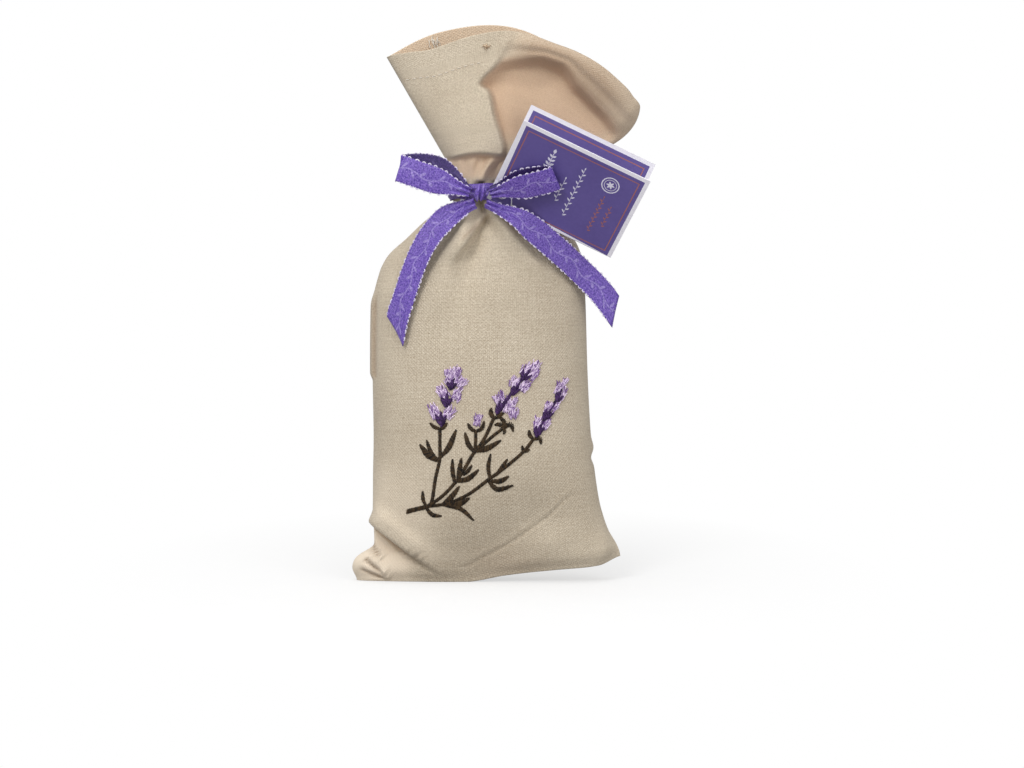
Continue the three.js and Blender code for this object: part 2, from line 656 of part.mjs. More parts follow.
// Embroidery, drawn in its own units from the place where the stems meet
const stemLines = [
  [[-8, -2.7], [0, 0], [2, 3], [4.6, 18], [4.6, 29], [5.4, 34]],
  [[0, 0], [5, 3.4], [10.8, 9.4], [18.8, 21.5], [25.8, 33.5], [27, 38]],
  [[0, 0], [7, 1.6], [15, 5.4], [24.2, 10.8], [32.7, 18.1], [40.4, 27.3], [42.5, 30]],
  [[18.6, 21], [18.4, 28], [20, 33]],
  [[19.4, 22.5], [24.5, 27.4], [29.6, 31.9]],
];
const leafLines = [
  [[0, 0], [-1.5, 5.8]],
  [[0, 0], [5.4, -3.5]],
  [[2, 1], [13.8, -0.8], [17.7, -5.4]],
  [[5, 3.2], [12.3, 7.7]],
  [[7, 1.6], [15.4, 3.2]],
  [[4.6, 19], [-2.3, 23.8]],
  [[4.6, 20], [0.4, 26.4]],
  [[4.6, 20.5], [10.8, 29.2]],
  [[10.6, 9.2], [10, 18]],
  [[10.8, 9.4], [13.8, 19]],
  [[10.8, 9.4], [18.5, 15]],
  [[18.6, 21.2], [14.6, 28.5]],
  [[18.8, 21.5], [28, 25.4]],
  [[24, 10.6], [23.6, 20]],
  [[24.2, 10.8], [30, 19.5]],
  [[24.2, 10.8], [31.4, 11.9]],
  [[24, 10.6], [32.7, 7.4]],
  [[29.4, 31.7], [32.6, 29]],
];
const spikes = {
  left: { from: [5.6, 34.4], to: [11.2, 54.6], width: 9.4 },
  middle: { from: [27.2, 38.4], to: [41.5, 56.9], width: 9.4 },
  right: { from: [42.7, 30.4], to: [53.5, 48.5], width: 6.4 },
  bud: { from: [20.1, 33.4], to: [20.8, 38.6], width: 3.4 },
};

// A line of thread on the front of the bag, with its own width along the way.
function threadLine(knots, widthAt, steps, low, high) {
  const meeting = new THREE.Vector2(SPRIG_X, SPRIG_Z);
  const drawn = knots.map((place) => new THREE.Vector2(...place).multiplyScalar(SPRIG_UNIT).add(meeting));
  const path = new THREE.SplineCurve(drawn);
  const loops = [];
  for (let i = 0; i <= steps; i += 1) {
    const place = path.getPointAt(i / steps);
    const along = path.getTangentAt(i / steps);
    const half = widthAt(i / steps) / 2;
    const across = new THREE.Vector2(-along.y, along.x).multiplyScalar(half);
    const edge = (side, lift) => frontAt(place.x + side * across.x, place.y + side * across.y, lift);
    loops.push([edge(-1, low), edge(1, low), edge(1, high), edge(-1, high)]);
  }
  return closedLoft(loops);
}

const threadFoot = CLEARANCE + THREAD_LIFT;
const threadTop = threadFoot + THREAD;

function stems() {
  const stemWidth = () => STEM_WIDTH;
  const lines = stemLines.map((knots) =>
    threadLine(knots, stemWidth, knots.length * 2, threadFoot, threadTop),
  );
  const leafWidth = (u) => LEAF_WIDTH * (0.23 + Math.sin(Math.PI * u ** 0.8));
  const leaves = leafLines.map((knots) =>
    threadLine(knots, leafWidth, LEAF_STEPS, threadFoot + LEAF_SINK, threadTop - LEAF_SINK),
  );
  return joined([...lines, ...leaves]);
}

function florets({ from, to, width }) {
  const lobes = (u) => 0.7 + 0.3 * Math.abs(Math.cos(3 * Math.PI * u));
  const swell = (u) => Math.sin(Math.PI * (0.12 + 0.86 * u)) ** 0.6;
  const outline = (u) => (0.6 + width * swell(u) * lobes(u)) * SPRIG_UNIT;
  return threadLine([from, to], outline, SPIKE_STEPS, threadFoot, threadTop);
}

function calyces({ from, to }) {
  const swell = (u) => Math.abs(Math.sin(2.6 * Math.PI * u + 0.3)) ** 1.5;
  const outline = (u) => CALYX_WIDTH * (0.2 + swell(u) * (1 - 0.45 * u));
  const foot = threadTop + CLEARANCE;
  const head = [lerp(from[0], to[0], 0.85), lerp(from[1], to[1], 0.85)];
  return threadLine([from, head], outline, SPIKE_STEPS, foot, foot + THREAD);
}

// Assembly
const sachet = new THREE.Group();
sachet.name = "lavender_sachet";

function add(name, geometry, color, roughness, holder = sachet) {
  const material = new THREE.MeshStandardMaterial({ color, roughness, metalness: 0 });
  const mesh = new THREE.Mesh(geometry, material);
  mesh.name = name;
  holder.add(mesh);
}

function pivot(name, position, turn) {
  const group = new THREE.Group();
  group.name = name;
  group.position.copy(position);
  if (turn) {
    group.quaternion.copy(turn);
  }
  sachet.add(group);
  return group;
}

const LINEN = 0xcdb899;
const VIOLET = 0x6b4a8c;
add("bag_front_panel", panel(-1), LINEN, 0.95);
add("bag_back_panel", panel(1), LINEN, 0.95);
add("side_seam_left", sideSeam(-1), 0xe2d6c0, 0.95);
add("side_seam_right", sideSeam(1), 0xe2d6c0, 0.95);
add("bottom_seam", bottomSeam(), 0xe2d6c0, 0.95);
add("lavender_filling", filling(), 0x7d7298, 1);
add("ribbon_neck_band", neckBand(), VIOLET, 0.5);
add("ribbon_knot", knotSolid(), VIOLET, 0.5);

const leftLoopRoot = new THREE.Vector3(knot.x - KNOT_WIDTH / 2 - CLEARANCE, knot.y, knot.z);
const leftLoopTurn = new THREE.Quaternion().setFromEuler(
  new THREE.Euler(0, degToRad(-LEFT_LOOP_RISE), degToRad(180 + LEFT_LOOP_FORWARD), "ZYX"),
);
const leftLoop = pivot("loop_left_root", leftLoopRoot, leftLoopTurn);
add("ribbon_loop_left", bowLoop(LEFT_LOOP_LENGTH), VIOLET, 0.5, leftLoop);

// The right loop lies flat on the raised front leaf of the label.
const loopTurn = leafTurn.clone().multiply(
  new THREE.Quaternion().setFromAxisAngle(new THREE.Vector3(0, 1, 0), degToRad(-RIGHT_LOOP_RISE)),
);
const rightLoopRoot = new THREE.Vector3(knot.x + KNOT_WIDTH / 2 + CLEARANCE, 0, knot.z);
const leafFace = new THREE.Vector3(0, -1, 0).applyQuaternion(leafTurn);
const standoff = LABEL_THICKNESS / 2 + CLEARANCE + LOOP_GAP / 2 + RIBBON_THICKNESS;
const reach = leafFace.dot(fold.clone().addScaledVector(leafFace, standoff).sub(rightLoopRoot));
rightLoopRoot.y = reach / leafFace.y;
const rightLoop = pivot("loop_right_root", rightLoopRoot, loopTurn);
add("ribbon_loop_right", bowLoop(RIGHT_LOOP_LENGTH), VIOLET, 0.5, rightLoop);

const tailDrop = KNOT_HEIGHT / 2 + CLEARANCE;
const leftTailRoot = new THREE.Vector3(knot.x - KNOT_WIDTH * 0.35, knot.y, knot.z - tailDrop);
const rightTailRoot = new THREE.Vector3(knot.x + KNOT_WIDTH * 0.35, knot.y - TAIL_STEP, knot.z - tailDrop);
const leftTail = tail(leftTailRoot, LEFT_TAIL_DROP, LEFT_TAIL_STOPS, -LEFT_TAIL_CUT);
add("ribbon_tail_left", leftTail, VIOLET, 0.5, pivot("tail_left_root", leftTailRoot));
const rightTail = tail(rightTailRoot, RIGHT_TAIL_DROP, RIGHT_TAIL_STOPS, RIGHT_TAIL_CUT);
add("ribbon_tail_right", rightTail, VIOLET, 0.5, pivot("tail_right_root", rightTailRoot));

const backLeaf = pivot("label_hole", hole, labelTurn);
add("label_back_leaf", leaf(LABEL_WIDTH, false).translate(0, 0, -LABEL_HOLE_INSET), 0x8a6bb0, 0.6, backLeaf);
const frontLeaf = pivot("label_fold", fold, leafTurn);
add("label_front_leaf", leaf(LABEL_WIDTH, true).translate(0, 0, CLEARANCE), 0x8a6bb0, 0.6, frontLeaf);

add("embroidery_stems", stems(), 0x3a2c2c, 0.7);
for (const [name, spike] of Object.entries(spikes)) {
  add(`embroidery_florets_${name}`, florets(spike), 0xb9a7d6, 0.6);
}
for (const name of ["left", "middle", "right"]) {
  add(`embroidery_calyces_${name}`, calyces(spikes[name]), 0x4d3470, 0.6);
}

export default sachet;
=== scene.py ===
"""A lavender sachet: a filled cloth bag, gathered and tied with a ribbon bow that holds a folded label.

Sizes and places are in millimetres in the part's own frame, and become metres where a mesh is made.
The front faces -Y, X runs to the right as the front is seen, and the foot stands at z = 0.
Across a panel t runs from -1 at the left seam to 1 at the right seam, and up the ruff share runs from 0 at
the tie to 1 at the rim of the mouth. The front panel's side is -1 and the back panel's side is 1.
"""

import json
import math
import random

import bpy
import numpy as np
from mathutils import Matrix, Vector
from mathutils.bvhtree import BVHTree


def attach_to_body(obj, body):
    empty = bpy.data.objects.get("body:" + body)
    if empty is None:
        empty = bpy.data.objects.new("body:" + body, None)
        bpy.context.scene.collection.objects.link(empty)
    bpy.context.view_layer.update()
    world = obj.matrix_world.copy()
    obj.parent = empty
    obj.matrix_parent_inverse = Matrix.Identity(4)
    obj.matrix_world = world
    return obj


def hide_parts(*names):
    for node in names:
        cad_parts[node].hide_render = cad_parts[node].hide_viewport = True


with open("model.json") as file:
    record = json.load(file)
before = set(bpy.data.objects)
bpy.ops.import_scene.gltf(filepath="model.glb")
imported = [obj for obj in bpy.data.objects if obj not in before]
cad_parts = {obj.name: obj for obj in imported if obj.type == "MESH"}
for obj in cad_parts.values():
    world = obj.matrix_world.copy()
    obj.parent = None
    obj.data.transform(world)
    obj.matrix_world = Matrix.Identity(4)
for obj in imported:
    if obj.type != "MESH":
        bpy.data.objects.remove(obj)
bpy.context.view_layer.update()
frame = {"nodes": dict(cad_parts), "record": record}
MM = 0.001
# A direction that no thread runs along
THREAD_GUIDE = np.array([0.31, 0.22, 0.93])

# Curves and grids


def smooth(value, low, high):
    """0 below low, 1 above high, with a soft step between."""
    u = np.clip((np.asarray(value, float) - low) / (high - low), 0.0, 1.0)
    return u * u * (3.0 - 2.0 * u)


def fall(value, low, high):
    """1 below low, 0 above high, with a soft step between."""
    return 1.0 - smooth(value, low, high)


def bell(value, middle, reach):
    """A soft bump of height 1 at the middle."""
    return np.exp(-(((np.asarray(value, float) - middle) / reach) ** 2))


def unit(rows):
    return rows / np.maximum(np.linalg.norm(rows, axis=-1, keepdims=True), 1e-9)


def run_along(line):
    """Distance of each point of a line from its start, measured along the line."""
    return np.concatenate([[0.0], np.cumsum(np.linalg.norm(np.diff(line, axis=0), axis=1))])


def through(stations, column=1):
    """A curve through (place, value, ...) rows that stays between neighbouring values."""
    places = np.array([row[0] for row in stations], float)
    values = np.array([row[column] for row in stations], float)
    rises = np.diff(values) / np.diff(places)
    slopes = np.zeros(len(values))
    product = rises[:-1] * rises[1:]
    total = np.where(product > 0, rises[:-1] + rises[1:], 1.0)
    slopes[1:-1] = np.where(product > 0, 2.0 * product / total, 0.0)

    def curve(at):
        at = np.asarray(at, float)
        i = np.clip(np.searchsorted(places, at) - 1, 0, len(rises) - 1)
        span = places[i + 1] - places[i]
        u = np.clip((at - places[i]) / span, 0.0, 1.0)
        ends = values[i] * (1 - u) ** 2 * (1 + 2 * u) + values[i + 1] * u**2 * (3 - 2 * u)
        return ends + span * (slopes[i] * u * (1 - u) ** 2 - slopes[i + 1] * u**2 * (1 - u))

    return curve


def spline(knots, count):
    """Evenly spaced points on a smooth curve through the knots."""
    knots = np.asarray(knots, float)
    padded = np.vstack([2 * knots[0] - knots[1], knots, 2 * knots[-1] - knots[-2]])
    u = np.linspace(0.0, 1.0, 24, endpoint=False)[:, None]
    dense = []
    for i in range(len(knots) - 1):
        a, b, c, d = padded[i : i + 4]
        bend = (2 * a - 5 * b + 4 * c - d) * u**2 + (3 * b - a - 3 * c + d) * u**3
        dense.append(0.5 * (2 * b + (c - a) * u + bend))
    dense = np.vstack(dense + [knots[-1:]])
    far = run_along(dense)
    even = np.linspace(0.0, far[-1], count)
    return np.stack([np.interp(even, far, dense[:, k]) for k in range(dense.shape[1])], axis=-1)


def line_places(x, z, start, end):
    """Distances along a line on the front and to the left of it, and the line's length."""
    along = np.subtract(end, start)
    length = np.hypot(*along)
    along = along / length
    x, z = x - start[0], z - start[1]
    return x * along[0] + z * along[1], z * along[0] - x * along[1], length


def quads(index, outward=True):
    """Faces of a grid of point numbers, turned over where the grid faces inward."""
    corners = [index[:-1, :-1], index[:-1, 1:], index[1:, 1:], index[1:, :-1]]
    if not outward:
        corners = [corners[k] for k in (1, 0, 3, 2)]
    return np.stack(corners, axis=-1).reshape(-1, 4).tolist()


def ring_faces(rows, columns):
    """Faces of a tube of rings, with one face over each end."""
    index = np.arange(rows * columns).reshape(rows, columns)
    return quads(np.column_stack([index, index[:, 0]])) + [index[0, ::-1].tolist(), index[-1].tolist()]


def tube(path, radius, sides=6):
    """Points and faces of a thread along a path, closed at both ends."""
    path = np.asarray(path, float)
    along = unit(np.gradient(path, axis=0))
    side = unit(np.cross(along, THREAD_GUIDE))
    up = np.cross(side, along)
    turn = np.linspace(0.0, 2 * math.pi, sides, endpoint=False)
    ring = np.cos(turn)[None, :, None] * side[:, None] + np.sin(turn)[None, :, None] * up[:, None]
    return (path[:, None] + radius * ring).reshape(-1, 3), ring_faces(len(path), sides)


# Objects


def new_object(name, points, faces, uvs=None, smooth_faces=True):
    """A mesh object from points in millimetres; uvs holds one pair for each point."""
    mesh = bpy.data.meshes.new(name)
    mesh.from_pydata((np.asarray(points, float) * MM).tolist(), [], faces)
    if uvs is not None:
        layer = mesh.uv_layers.new(name="weave")
        corner = np.empty(len(mesh.loops), dtype=np.int32)
        mesh.loops.foreach_get("vertex_index", corner)
        layer.data.foreach_set("uv", np.asarray(uvs, dtype=np.float32)[corner].ravel())
    mesh.polygons.foreach_set("use_smooth", np.full(len(mesh.polygons), smooth_faces))
    mesh.update()
    obj = bpy.data.objects.new(name, mesh)
    bpy.context.scene.collection.objects.link(obj)
    return obj


def cloth_object(name, grid, u, v, outward, materials, thickness, offset):
    """Woven stuff from a grid of points, with its flat layout, its two sides' materials and its thickness."""
    rows, columns = grid.shape[:2]
    faces = quads(np.arange(rows * columns).reshape(rows, columns), outward)
    u, v = np.meshgrid(u, v)
    obj = new_object(name, grid.reshape(-1, 3), faces, np.stack([u.ravel(), v.ravel()], axis=-1))
    for material in materials:
        obj.data.materials.append(material)
    thick = obj.modifiers.new("thickness", "SOLIDIFY")
    thick.thickness = thickness * MM
    thick.offset = offset
    thick.material_offset = 1
    return obj


def paint(obj, name, values):
    """A value for each point, which the materials can read."""
    layer = obj.data.attributes.new(name, "FLOAT", "POINT")
    layer.data.foreach_set("value", np.asarray(values, dtype=np.float32).ravel())


def attach(obj, body, node=None):
    """Lets an object ride on a body, in the place of a CAD node if one is named."""
    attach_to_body(obj, body)
    if node:
        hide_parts(node)


def add_threads(name, parts, material, body="bag", node=None):
    """One piece made of many threads, each with a tint of its own."""
    points, faces, count = [], [], 0
    for some, corners in parts:
        points.append(np.asarray(some, float))
        faces.extend([i + count for i in corner] for corner in corners)
        count += len(some)
    obj = new_object(name, np.vstack(points), faces)
    rng = random.Random(len(parts))
    paint(obj, "tint", np.concatenate([np.full(len(some), rng.random()) for some in points]))
    obj.data.materials.append(material)
    attach(obj, body, node)


# Materials


class Value:
    """A number that nodes work out, for plain arithmetic."""

    def __init__(self, nodes, socket):
        self.nodes, self.socket = nodes, socket

    def __add__(self, other):
        return self.nodes.math("ADD", self, other)

    def __sub__(self, other):
        return self.nodes.math("SUBTRACT", self, other)

    def __mul__(self, other):
        return self.nodes.math("MULTIPLY", self, other)

    def __truediv__(self, other):
        return self.nodes.math("DIVIDE", self, other)


class Nodes:
    """Short calls for building the nodes of one material, or of the world."""

    def __init__(self, name, kind="materials"):
        self.owner = getattr(bpy.data, kind).new(name)
        self.owner.use_nodes = True
        self.tree = self.owner.node_tree
        self.shader = self.tree.nodes.get("Principled BSDF")

    def node(self, kind, inputs=None, **settings):
        made = self.tree.nodes.new(kind)
        for key, value in settings.items():
            setattr(made, key, value)
        for key, value in (inputs or {}).items():
            self.put(value, made.inputs[key])
        return made

    def put(self, value, socket):
        value = value.socket if isinstance(value, Value) else value
        if isinstance(value, bpy.types.NodeSocket):
            self.tree.links.new(value, socket)
        else:
            socket.default_value = value

    def math(self, operation, a, b=0.0):
        return Value(self, self.node("ShaderNodeMath", {0: a, 1: b}, operation=operation).outputs[0])

    def sine(self, value):
        return self.math("SINE", value)

    def least(self, a, b):
        return self.math("MINIMUM", a, b)

    def most(self, a, b):
        return self.math("MAXIMUM", a, b)

    def mix(self, share, a, b):
        return self.node("ShaderNodeMix", {0: share, 6: a, 7: b}, data_type="RGBA").outputs[2]

    def ramp(self, share, low, dark, high, light):
        made = self.node("ShaderNodeValToRGB", {0: share})
        for element, at, color in zip(made.color_ramp.elements, (low, high), (dark, light)):
            element.position = at
            element.color = color
        return made.outputs[0]

    def span(self, value, low, high, least=0.0, most=1.0):
        inputs = {0: value, 1: low, 2: high, 3: least, 4: most}
        return Value(self, self.node("ShaderNodeMapRange", inputs).outputs[0])

    def uv(self):
        made = self.node("ShaderNodeUVMap", uv_map="weave")
        parts = self.node("ShaderNodeSeparateXYZ", {0: made.outputs[0]})
        return Value(self, parts.outputs[0]), Value(self, parts.outputs[1])

    def vector(self, x, y, z=0.0):
        return self.node("ShaderNodeCombineXYZ", {0: x, 1: y, 2: z}).outputs[0]

    def noise(self, vector, scale=1.0, detail=2.0, rough=0.5):
        inputs = {"Vector": vector, "Scale": scale, "Detail": detail, "Roughness": rough}
        return Value(self, self.node("ShaderNodeTexNoise", inputs).outputs[0])

    def place(self):
        return self.node("ShaderNodeTexCoord").outputs["Object"]

    def value(self, name):
        return Value(self, self.node("ShaderNodeAttribute", attribute_name=name).outputs["Fac"])

    def bump(self, height, strength, distance=0.0001):
        inputs = {"Height": height, "Strength": strength, "Distance": distance}
        return self.node("ShaderNodeBump", inputs).outputs[0]

    def finish(self, color, roughness, normal=None, **constants):
        self.put(color, self.shader.inputs["Base Color"])
        self.put(roughness, self.shader.inputs["Roughness"])
        if normal is not None:
            self.put(normal, self.shader.inputs["Normal"])
        for key, value in constants.items():
            self.shader.inputs[key.replace("_", " ")].default_value = value
        return self.owner


def srgb(red, green, blue):
    """A colour given in display values from 0 to 255, as the linear value that nodes use."""
    linear = []
    for part in (red, green, blue):
        part = part / 255.0
        linear.append(part / 12.92 if part <= 0.04045 else ((part + 0.055) / 1.055) ** 2.4)
    return (*linear, 1.0)


def grey(value):
    return (value, value, value, 1.0)


YARN = 0.62
RIB_PITCH = 0.42
VINE_WAVE = 15.0
CARD_GRAIN = 900.0
# Painted light and shade on the linen: layer, greatest share and colour
# warm is painted bounce light from cloth close by, pale is painted light, shade is painted shade
LINEN_PAINTED_LIGHT = [
    ("warm", 0.6, srgb(238, 200, 166)),
    ("pale", 0.9, srgb(250, 234, 212)),
    ("shade", 0.5, srgb(142, 112, 88)),
]


def linen(name, tinted):
    """Plain weave of uneven yarns with slubs both ways, and on tinted cloth the painted light and shade."""
    n = Nodes(name)
    u, v = n.uv()
    warp, weft = u / YARN, v / YARN
    over = n.sine(warp * math.pi) * n.sine(weft * math.pi)
    gap = n.math("ABSOLUTE", over)
    warp_slub = n.noise(n.vector(n.math("FLOOR", warp) * 3.7, v * 0.09))
    weft_slub = n.noise(n.vector(n.math("FLOOR", weft) * 5.3, u * 0.07, 7.0))
    cloud = n.noise(n.place(), 38.0, 3.0)
    fleck = n.noise(n.vector(u * 1.2, v * 1.2), rough=0.7)
    tone = warp_slub * 0.14 + weft_slub * 0.20 + 0.33 + (fleck - 0.5) * 0.75
    tone = tone + (cloud - 0.5) * 0.25 + (gap - 0.4) * 0.22
    color = n.ramp(tone, 0.2, srgb(168, 151, 128), 0.82, srgb(229, 217, 196))
    if tinted:
        for layer, most, tint in LINEN_PAINTED_LIGHT:
            color = n.mix(n.value(layer) * most, color, tint)
    soft = {"Sheen_Weight": 0.12, "Sheen_Roughness": 0.6, "Specular_IOR_Level": 0.2}
    return n.finish(color, 0.92, n.bump(over * 0.5 + tone * 1.1, 0.4, 0.0003), **soft)


def ribbon_weave(name, dark, light, shown):
    """Violet ribbon with fine ribs, loose floats, painted glints of light and a pale woven vine along its
    middle.
    """
    n = Nodes(name)
    u, v = n.uv()
    rib = n.sine(v * (2 * math.pi / RIB_PITCH))
    floats = n.noise(n.vector(u * 1.5, v * 1.2), 1.0, 3.0, 0.7)
    # Painted glints of light, speckled over the ribbon and much weaker on its reverse
    glint = n.span(n.noise(n.vector(u * 1.9, v * 2.3, 11.0), 1.0, 1.0), 0.57, 0.72)
    cloud = n.noise(n.vector(u * 0.2, v * 0.16, 3.0))
    off = u - n.sine(v * (2 * math.pi / VINE_WAVE))
    stem = n.math("SUBTRACT", 1.0, n.least(n.math("ABSOLUTE", off) / 0.4, 1.0))
    side = n.math("SIGN", n.sine(v * (4 * math.pi / VINE_WAVE)))
    leaf_off = off * side - 1.3
    leaf_pitch = VINE_WAVE / 4
    lean = n.math("FRACT", v / leaf_pitch) * leaf_pitch - 1.87 - leaf_off * 0.7
    oval = n.math("POWER", leaf_off / 1.2, 2.0) + n.math("POWER", lean / 0.7, 2.0)
    leaf = n.math("SUBTRACT", 1.0, n.least(oval, 1.0))
    motif = n.least(n.most(stem * 1.2, leaf * 2.0), 1.0) * (floats * (0.75 * shown))
    base = n.mix(cloud * 0.4, n.ramp(floats, 0.38, dark, 0.66, light), dark)
    base = n.mix(glint * (0.45 * shown), base, srgb(196, 178, 234))
    color = n.mix(motif, base, srgb(190, 176, 228))
    height = rib * 0.25 + (floats + motif * 0.5)
    return n.finish(color, 0.45, n.bump(height, 0.5, 0.00018), Sheen_Weight=0.2, Sheen_Roughness=0.35)


def mottled(name, scale, detail, dark, light, roughness, strength, **constants):
    """Plain stuff whose colour and bump follow one fine grain."""
    n = Nodes(name)
    grain = n.noise(n.place(), scale, detail)
    return n.finish(n.mix(grain, dark, light), roughness, n.bump(grain, strength), **constants)


def print_ink(name, dark, light):
    """Flat ink on card, with a little mottle and the card's fibres under it."""
    n = Nodes(name)
    fibre = n.noise(n.place(), CARD_GRAIN, 4.0)
    cloud = n.noise(n.place(), 70.0, 3.0)
    return n.finish(n.mix(fibre * 0.35 + cloud * 0.5, dark, light), 0.5, n.bump(fibre, 0.12))


def thread_material(name, dark, light):
    """Embroidery thread: twisted plies, and the tint of each stitch."""
    n = Nodes(name)
    ply = n.noise(n.place(), 2400.0, 2.0)
    drift = n.noise(n.place(), 520.0, 1.0)
    share = ply * 0.25 + drift * 0.25 + n.value("tint") * 0.5
    color = n.ramp(share, 0.32, dark, 0.68, light)
    return n.finish(color, 0.5, n.bump(ply, 0.35), Sheen_Weight=0.05, Specular_IOR_Level=0.25)


def dried_lavender():
    n = Nodes("dried_lavender")
    buds = n.node("ShaderNodeTexVoronoi", {"Vector": n.place(), "Scale": 420.0}).outputs["Distance"]
    return n.finish(n.mix(buds, srgb(96, 84, 128), srgb(52, 46, 74)), 0.9, n.bump(buds, 0.8, 0.001))


LINEN = linen("linen_weave", True)
LINEN_PLAIN = linen("linen_outside", False)
RIBBON = ribbon_weave("ribbon_weave", srgb(64, 36, 142), srgb(150, 118, 216), 1.0)
RIBBON_BACK = ribbon_weave("ribbon_reverse", srgb(40, 24, 84), srgb(80, 58, 132), 0.15)
PICOT_COLORS = (srgb(196, 180, 226), srgb(248, 244, 252))
PICOT = mottled("picot_thread", 2600.0, 2.0, *PICOT_COLORS, 0.5, 0.4, Sheen_Weight=0.2)
CARD = mottled("label_card", CARD_GRAIN, 4.0, srgb(226, 222, 234), srgb(246, 244, 250), 0.7, 0.15)
SEAM_THREAD = mottled("seam_thread", 1800.0, 2.0, srgb(214, 204, 188), srgb(244, 240, 232), 0.7, 0.3)
INKS = [
    print_ink("label_violet_ink", srgb(76, 62, 128), srgb(110, 96, 166)),
    print_ink("label_orange_ink", srgb(150, 88, 84), srgb(186, 116, 96)),
    print_ink("label_white_ink", srgb(206, 200, 224), srgb(240, 238, 248)),
]
VIOLET, ORANGE, WHITE = range(len(INKS))
DARK_THREAD = thread_material("thread_brown", srgb(26, 17, 7), srgb(74, 56, 34))
LILAC_THREAD = thread_material("thread_lilac", srgb(132, 96, 158), srgb(240, 220, 244))
PURPLE_THREAD = thread_material("thread_purple", srgb(40, 16, 58), srgb(80, 48, 104))
SLUB_YARN = thread_material("slub_yarn", srgb(176, 146, 116), srgb(222, 204, 178))
LAVENDER = dried_lavender()

# Bag below the tie

# Thickness of the cloth, its clearance from the floor and half the width of a panel laid flat
CLOTH = 0.6
FLOOR_CLEAR = 0.06
FLAT_HALF_WIDTH = 52.0
# Tied neck
NECK_FOOT = 146.5
NECK_TOP = 153.5
TIE_HEIGHT = 150.0
NECK_MIDDLE = -2.5
NECK_RADIUS = 10.5

# Fineness of the cloth, and how often its finest grid is evened out
EASING = 2
COLUMNS = 108
FLOOR_ROWS = 6
BODY_ROWS = 124
NECK_ROWS = 5
RUFF_ROWS = 66
NECK_ROW = FLOOR_ROWS + BODY_ROWS
# Height below which the rows lie closer together
CLOSE_ROWS = 12

# Outline: height, left edge, right edge, front depth and back depth
BODY_STATIONS = [
    (0, -50.6, 51.2, 7.0, 8.0),
    (5, -52.4, 50.0, 11.0, 12.0),
    (9, -51.0, 48.6, 13.0, 14.0),
    (14, -43.8, 46.9, 14.8, 15.8),
    (20, -43.9, 45.4, 16.5, 17.4),
    (24.5, -44.9, 44.4, 17.5, 18.3),
    (28, -44.2, 43.6, 18.2, 18.8),
    (38, -44.2, 41.9, 19.7, 20.0),
    (56, -43.9, 39.8, 21.0, 20.8),
    (82, -44.2, 38.4, 21.2, 20.6),
    (108, -43.8, 37.6, 20.0, 19.6),
    (119, -41.4, 36.9, 18.2, 18.2),
    (125, -38.4, 36.0, 16.8, 17.0),
    (132, -31.0, 33.0, 15.0, 15.4),
    (140, -22.4, 20.0, 12.6, 12.8),
    (NECK_FOOT, -13.0, 8.0, NECK_RADIUS, NECK_RADIUS),
    (NECK_TOP, -13.0, 8.0, NECK_RADIUS, NECK_RADIUS),
]
LEFT_EDGE = through(BODY_STATIONS, 1)
RIGHT_EDGE = through(BODY_STATIONS, 2)
DEPTH = {-1: through(BODY_STATIONS, 3), 1: through(BODY_STATIONS, 4)}
# Power of the cosine that shapes a level cut: height, power
POINTEDNESS = through([(0, 1.35), (20, 1.15), (60, 1.0), (110, 0.95), (140, 1.0), (154, 1.0)])
# Where the front is fuller at its left: place across where it starts and is full, height and reach
FULLER = [((0.2, 0.8), (27.0, 16.0)), ((0.4, 0.9), (5.0, 8.0))]
FULLER_POWER = 0.5
# Bulge and dent of the right seam: push, height and reach
SEAM_DENTS = [(0.7, 52.0, 2.4), (-0.9, 47.6, 1.8)]
# The lower right corner stands clear of the floor: place across, lift
FOOT_LIFT = through([(-60, 0), (-9, 0), (7, 2.6), (27, 4.9), (43, 6.4), (52, 9.4)])
FOOT_LIFT_TOP = 34.0

# Pleats that run down from the tie: place across the panel, half width, height and reach below the tie
PLEATS = {
    -1: [
        (-0.84, 0.07, 1.8, 22),
        (-0.69, 0.06, -1.6, 22),
        (-0.53, 0.07, 2.2, 30),
        (-0.40, 0.05, -1.8, 26),
        (-0.24, 0.08, 3.4, 50),
        (-0.09, 0.06, -2.6, 50),
        (0.015, 0.05, -7.0, 17),
        (0.16, 0.08, 3.2, 24),
        (0.34, 0.05, -2.2, 24),
        (0.51, 0.07, 3.2, 32),
        (0.67, 0.06, -2.4, 26),
        (0.84, 0.07, 1.8, 20),
    ],
    1: [
        (-0.80, 0.08, 1.9, 24),
        (-0.60, 0.06, -1.9, 28),
        (-0.38, 0.08, 3.0, 44),
        (-0.18, 0.06, -2.6, 36),
        (0.02, 0.08, 2.6, 30),
        (0.24, 0.06, -2.8, 42),
        (0.44, 0.08, 2.8, 38),
        (0.64, 0.06, -1.9, 26),
        (0.83, 0.07, 1.7, 20),
    ],
}
PLEAT_AT_TIE = 0.3
# Folds laid over below the tie: start, end, height, half width of the edge and spread of the raised side
FRONT_LAPS = [
    ((-12.0, 124.0), (-0.6, 140.0), 5.0, 0.6, 10.0),
    ((24.0, 119.0), (7.0, 139.0), 1.6, 0.9, 8.0),
    ((-20.0, 127.0), (-7.5, 143.0), 1.4, 0.9, 6.0),
]
# Lines of painted shade along the folds under the knot: start, end and half width
KNOT_FOLD_SHADE = [
    ((-9.6, 132.4), (0.6, 142.0), 0.7),
    ((-14.2, 136.0), (-8.0, 143.4), 0.5),
    ((12.4, 133.4), (4.6, 142.0), 0.5),
]

# Tuck at the lower left: its line, the roll above it, where it fades along the line, how far the ear lies
# back, and the overhang and groove of its edge
TUCK = ((-45.0, 24.0), (-20.0, 5.0))
TUCK_ROLL = 3.0
TUCK_FADE = (16.0, 34.0)
EAR_SET_BACK = 4.8
TUCK_OVERHANG = 1.7
TUCK_GROOVE = 2.0
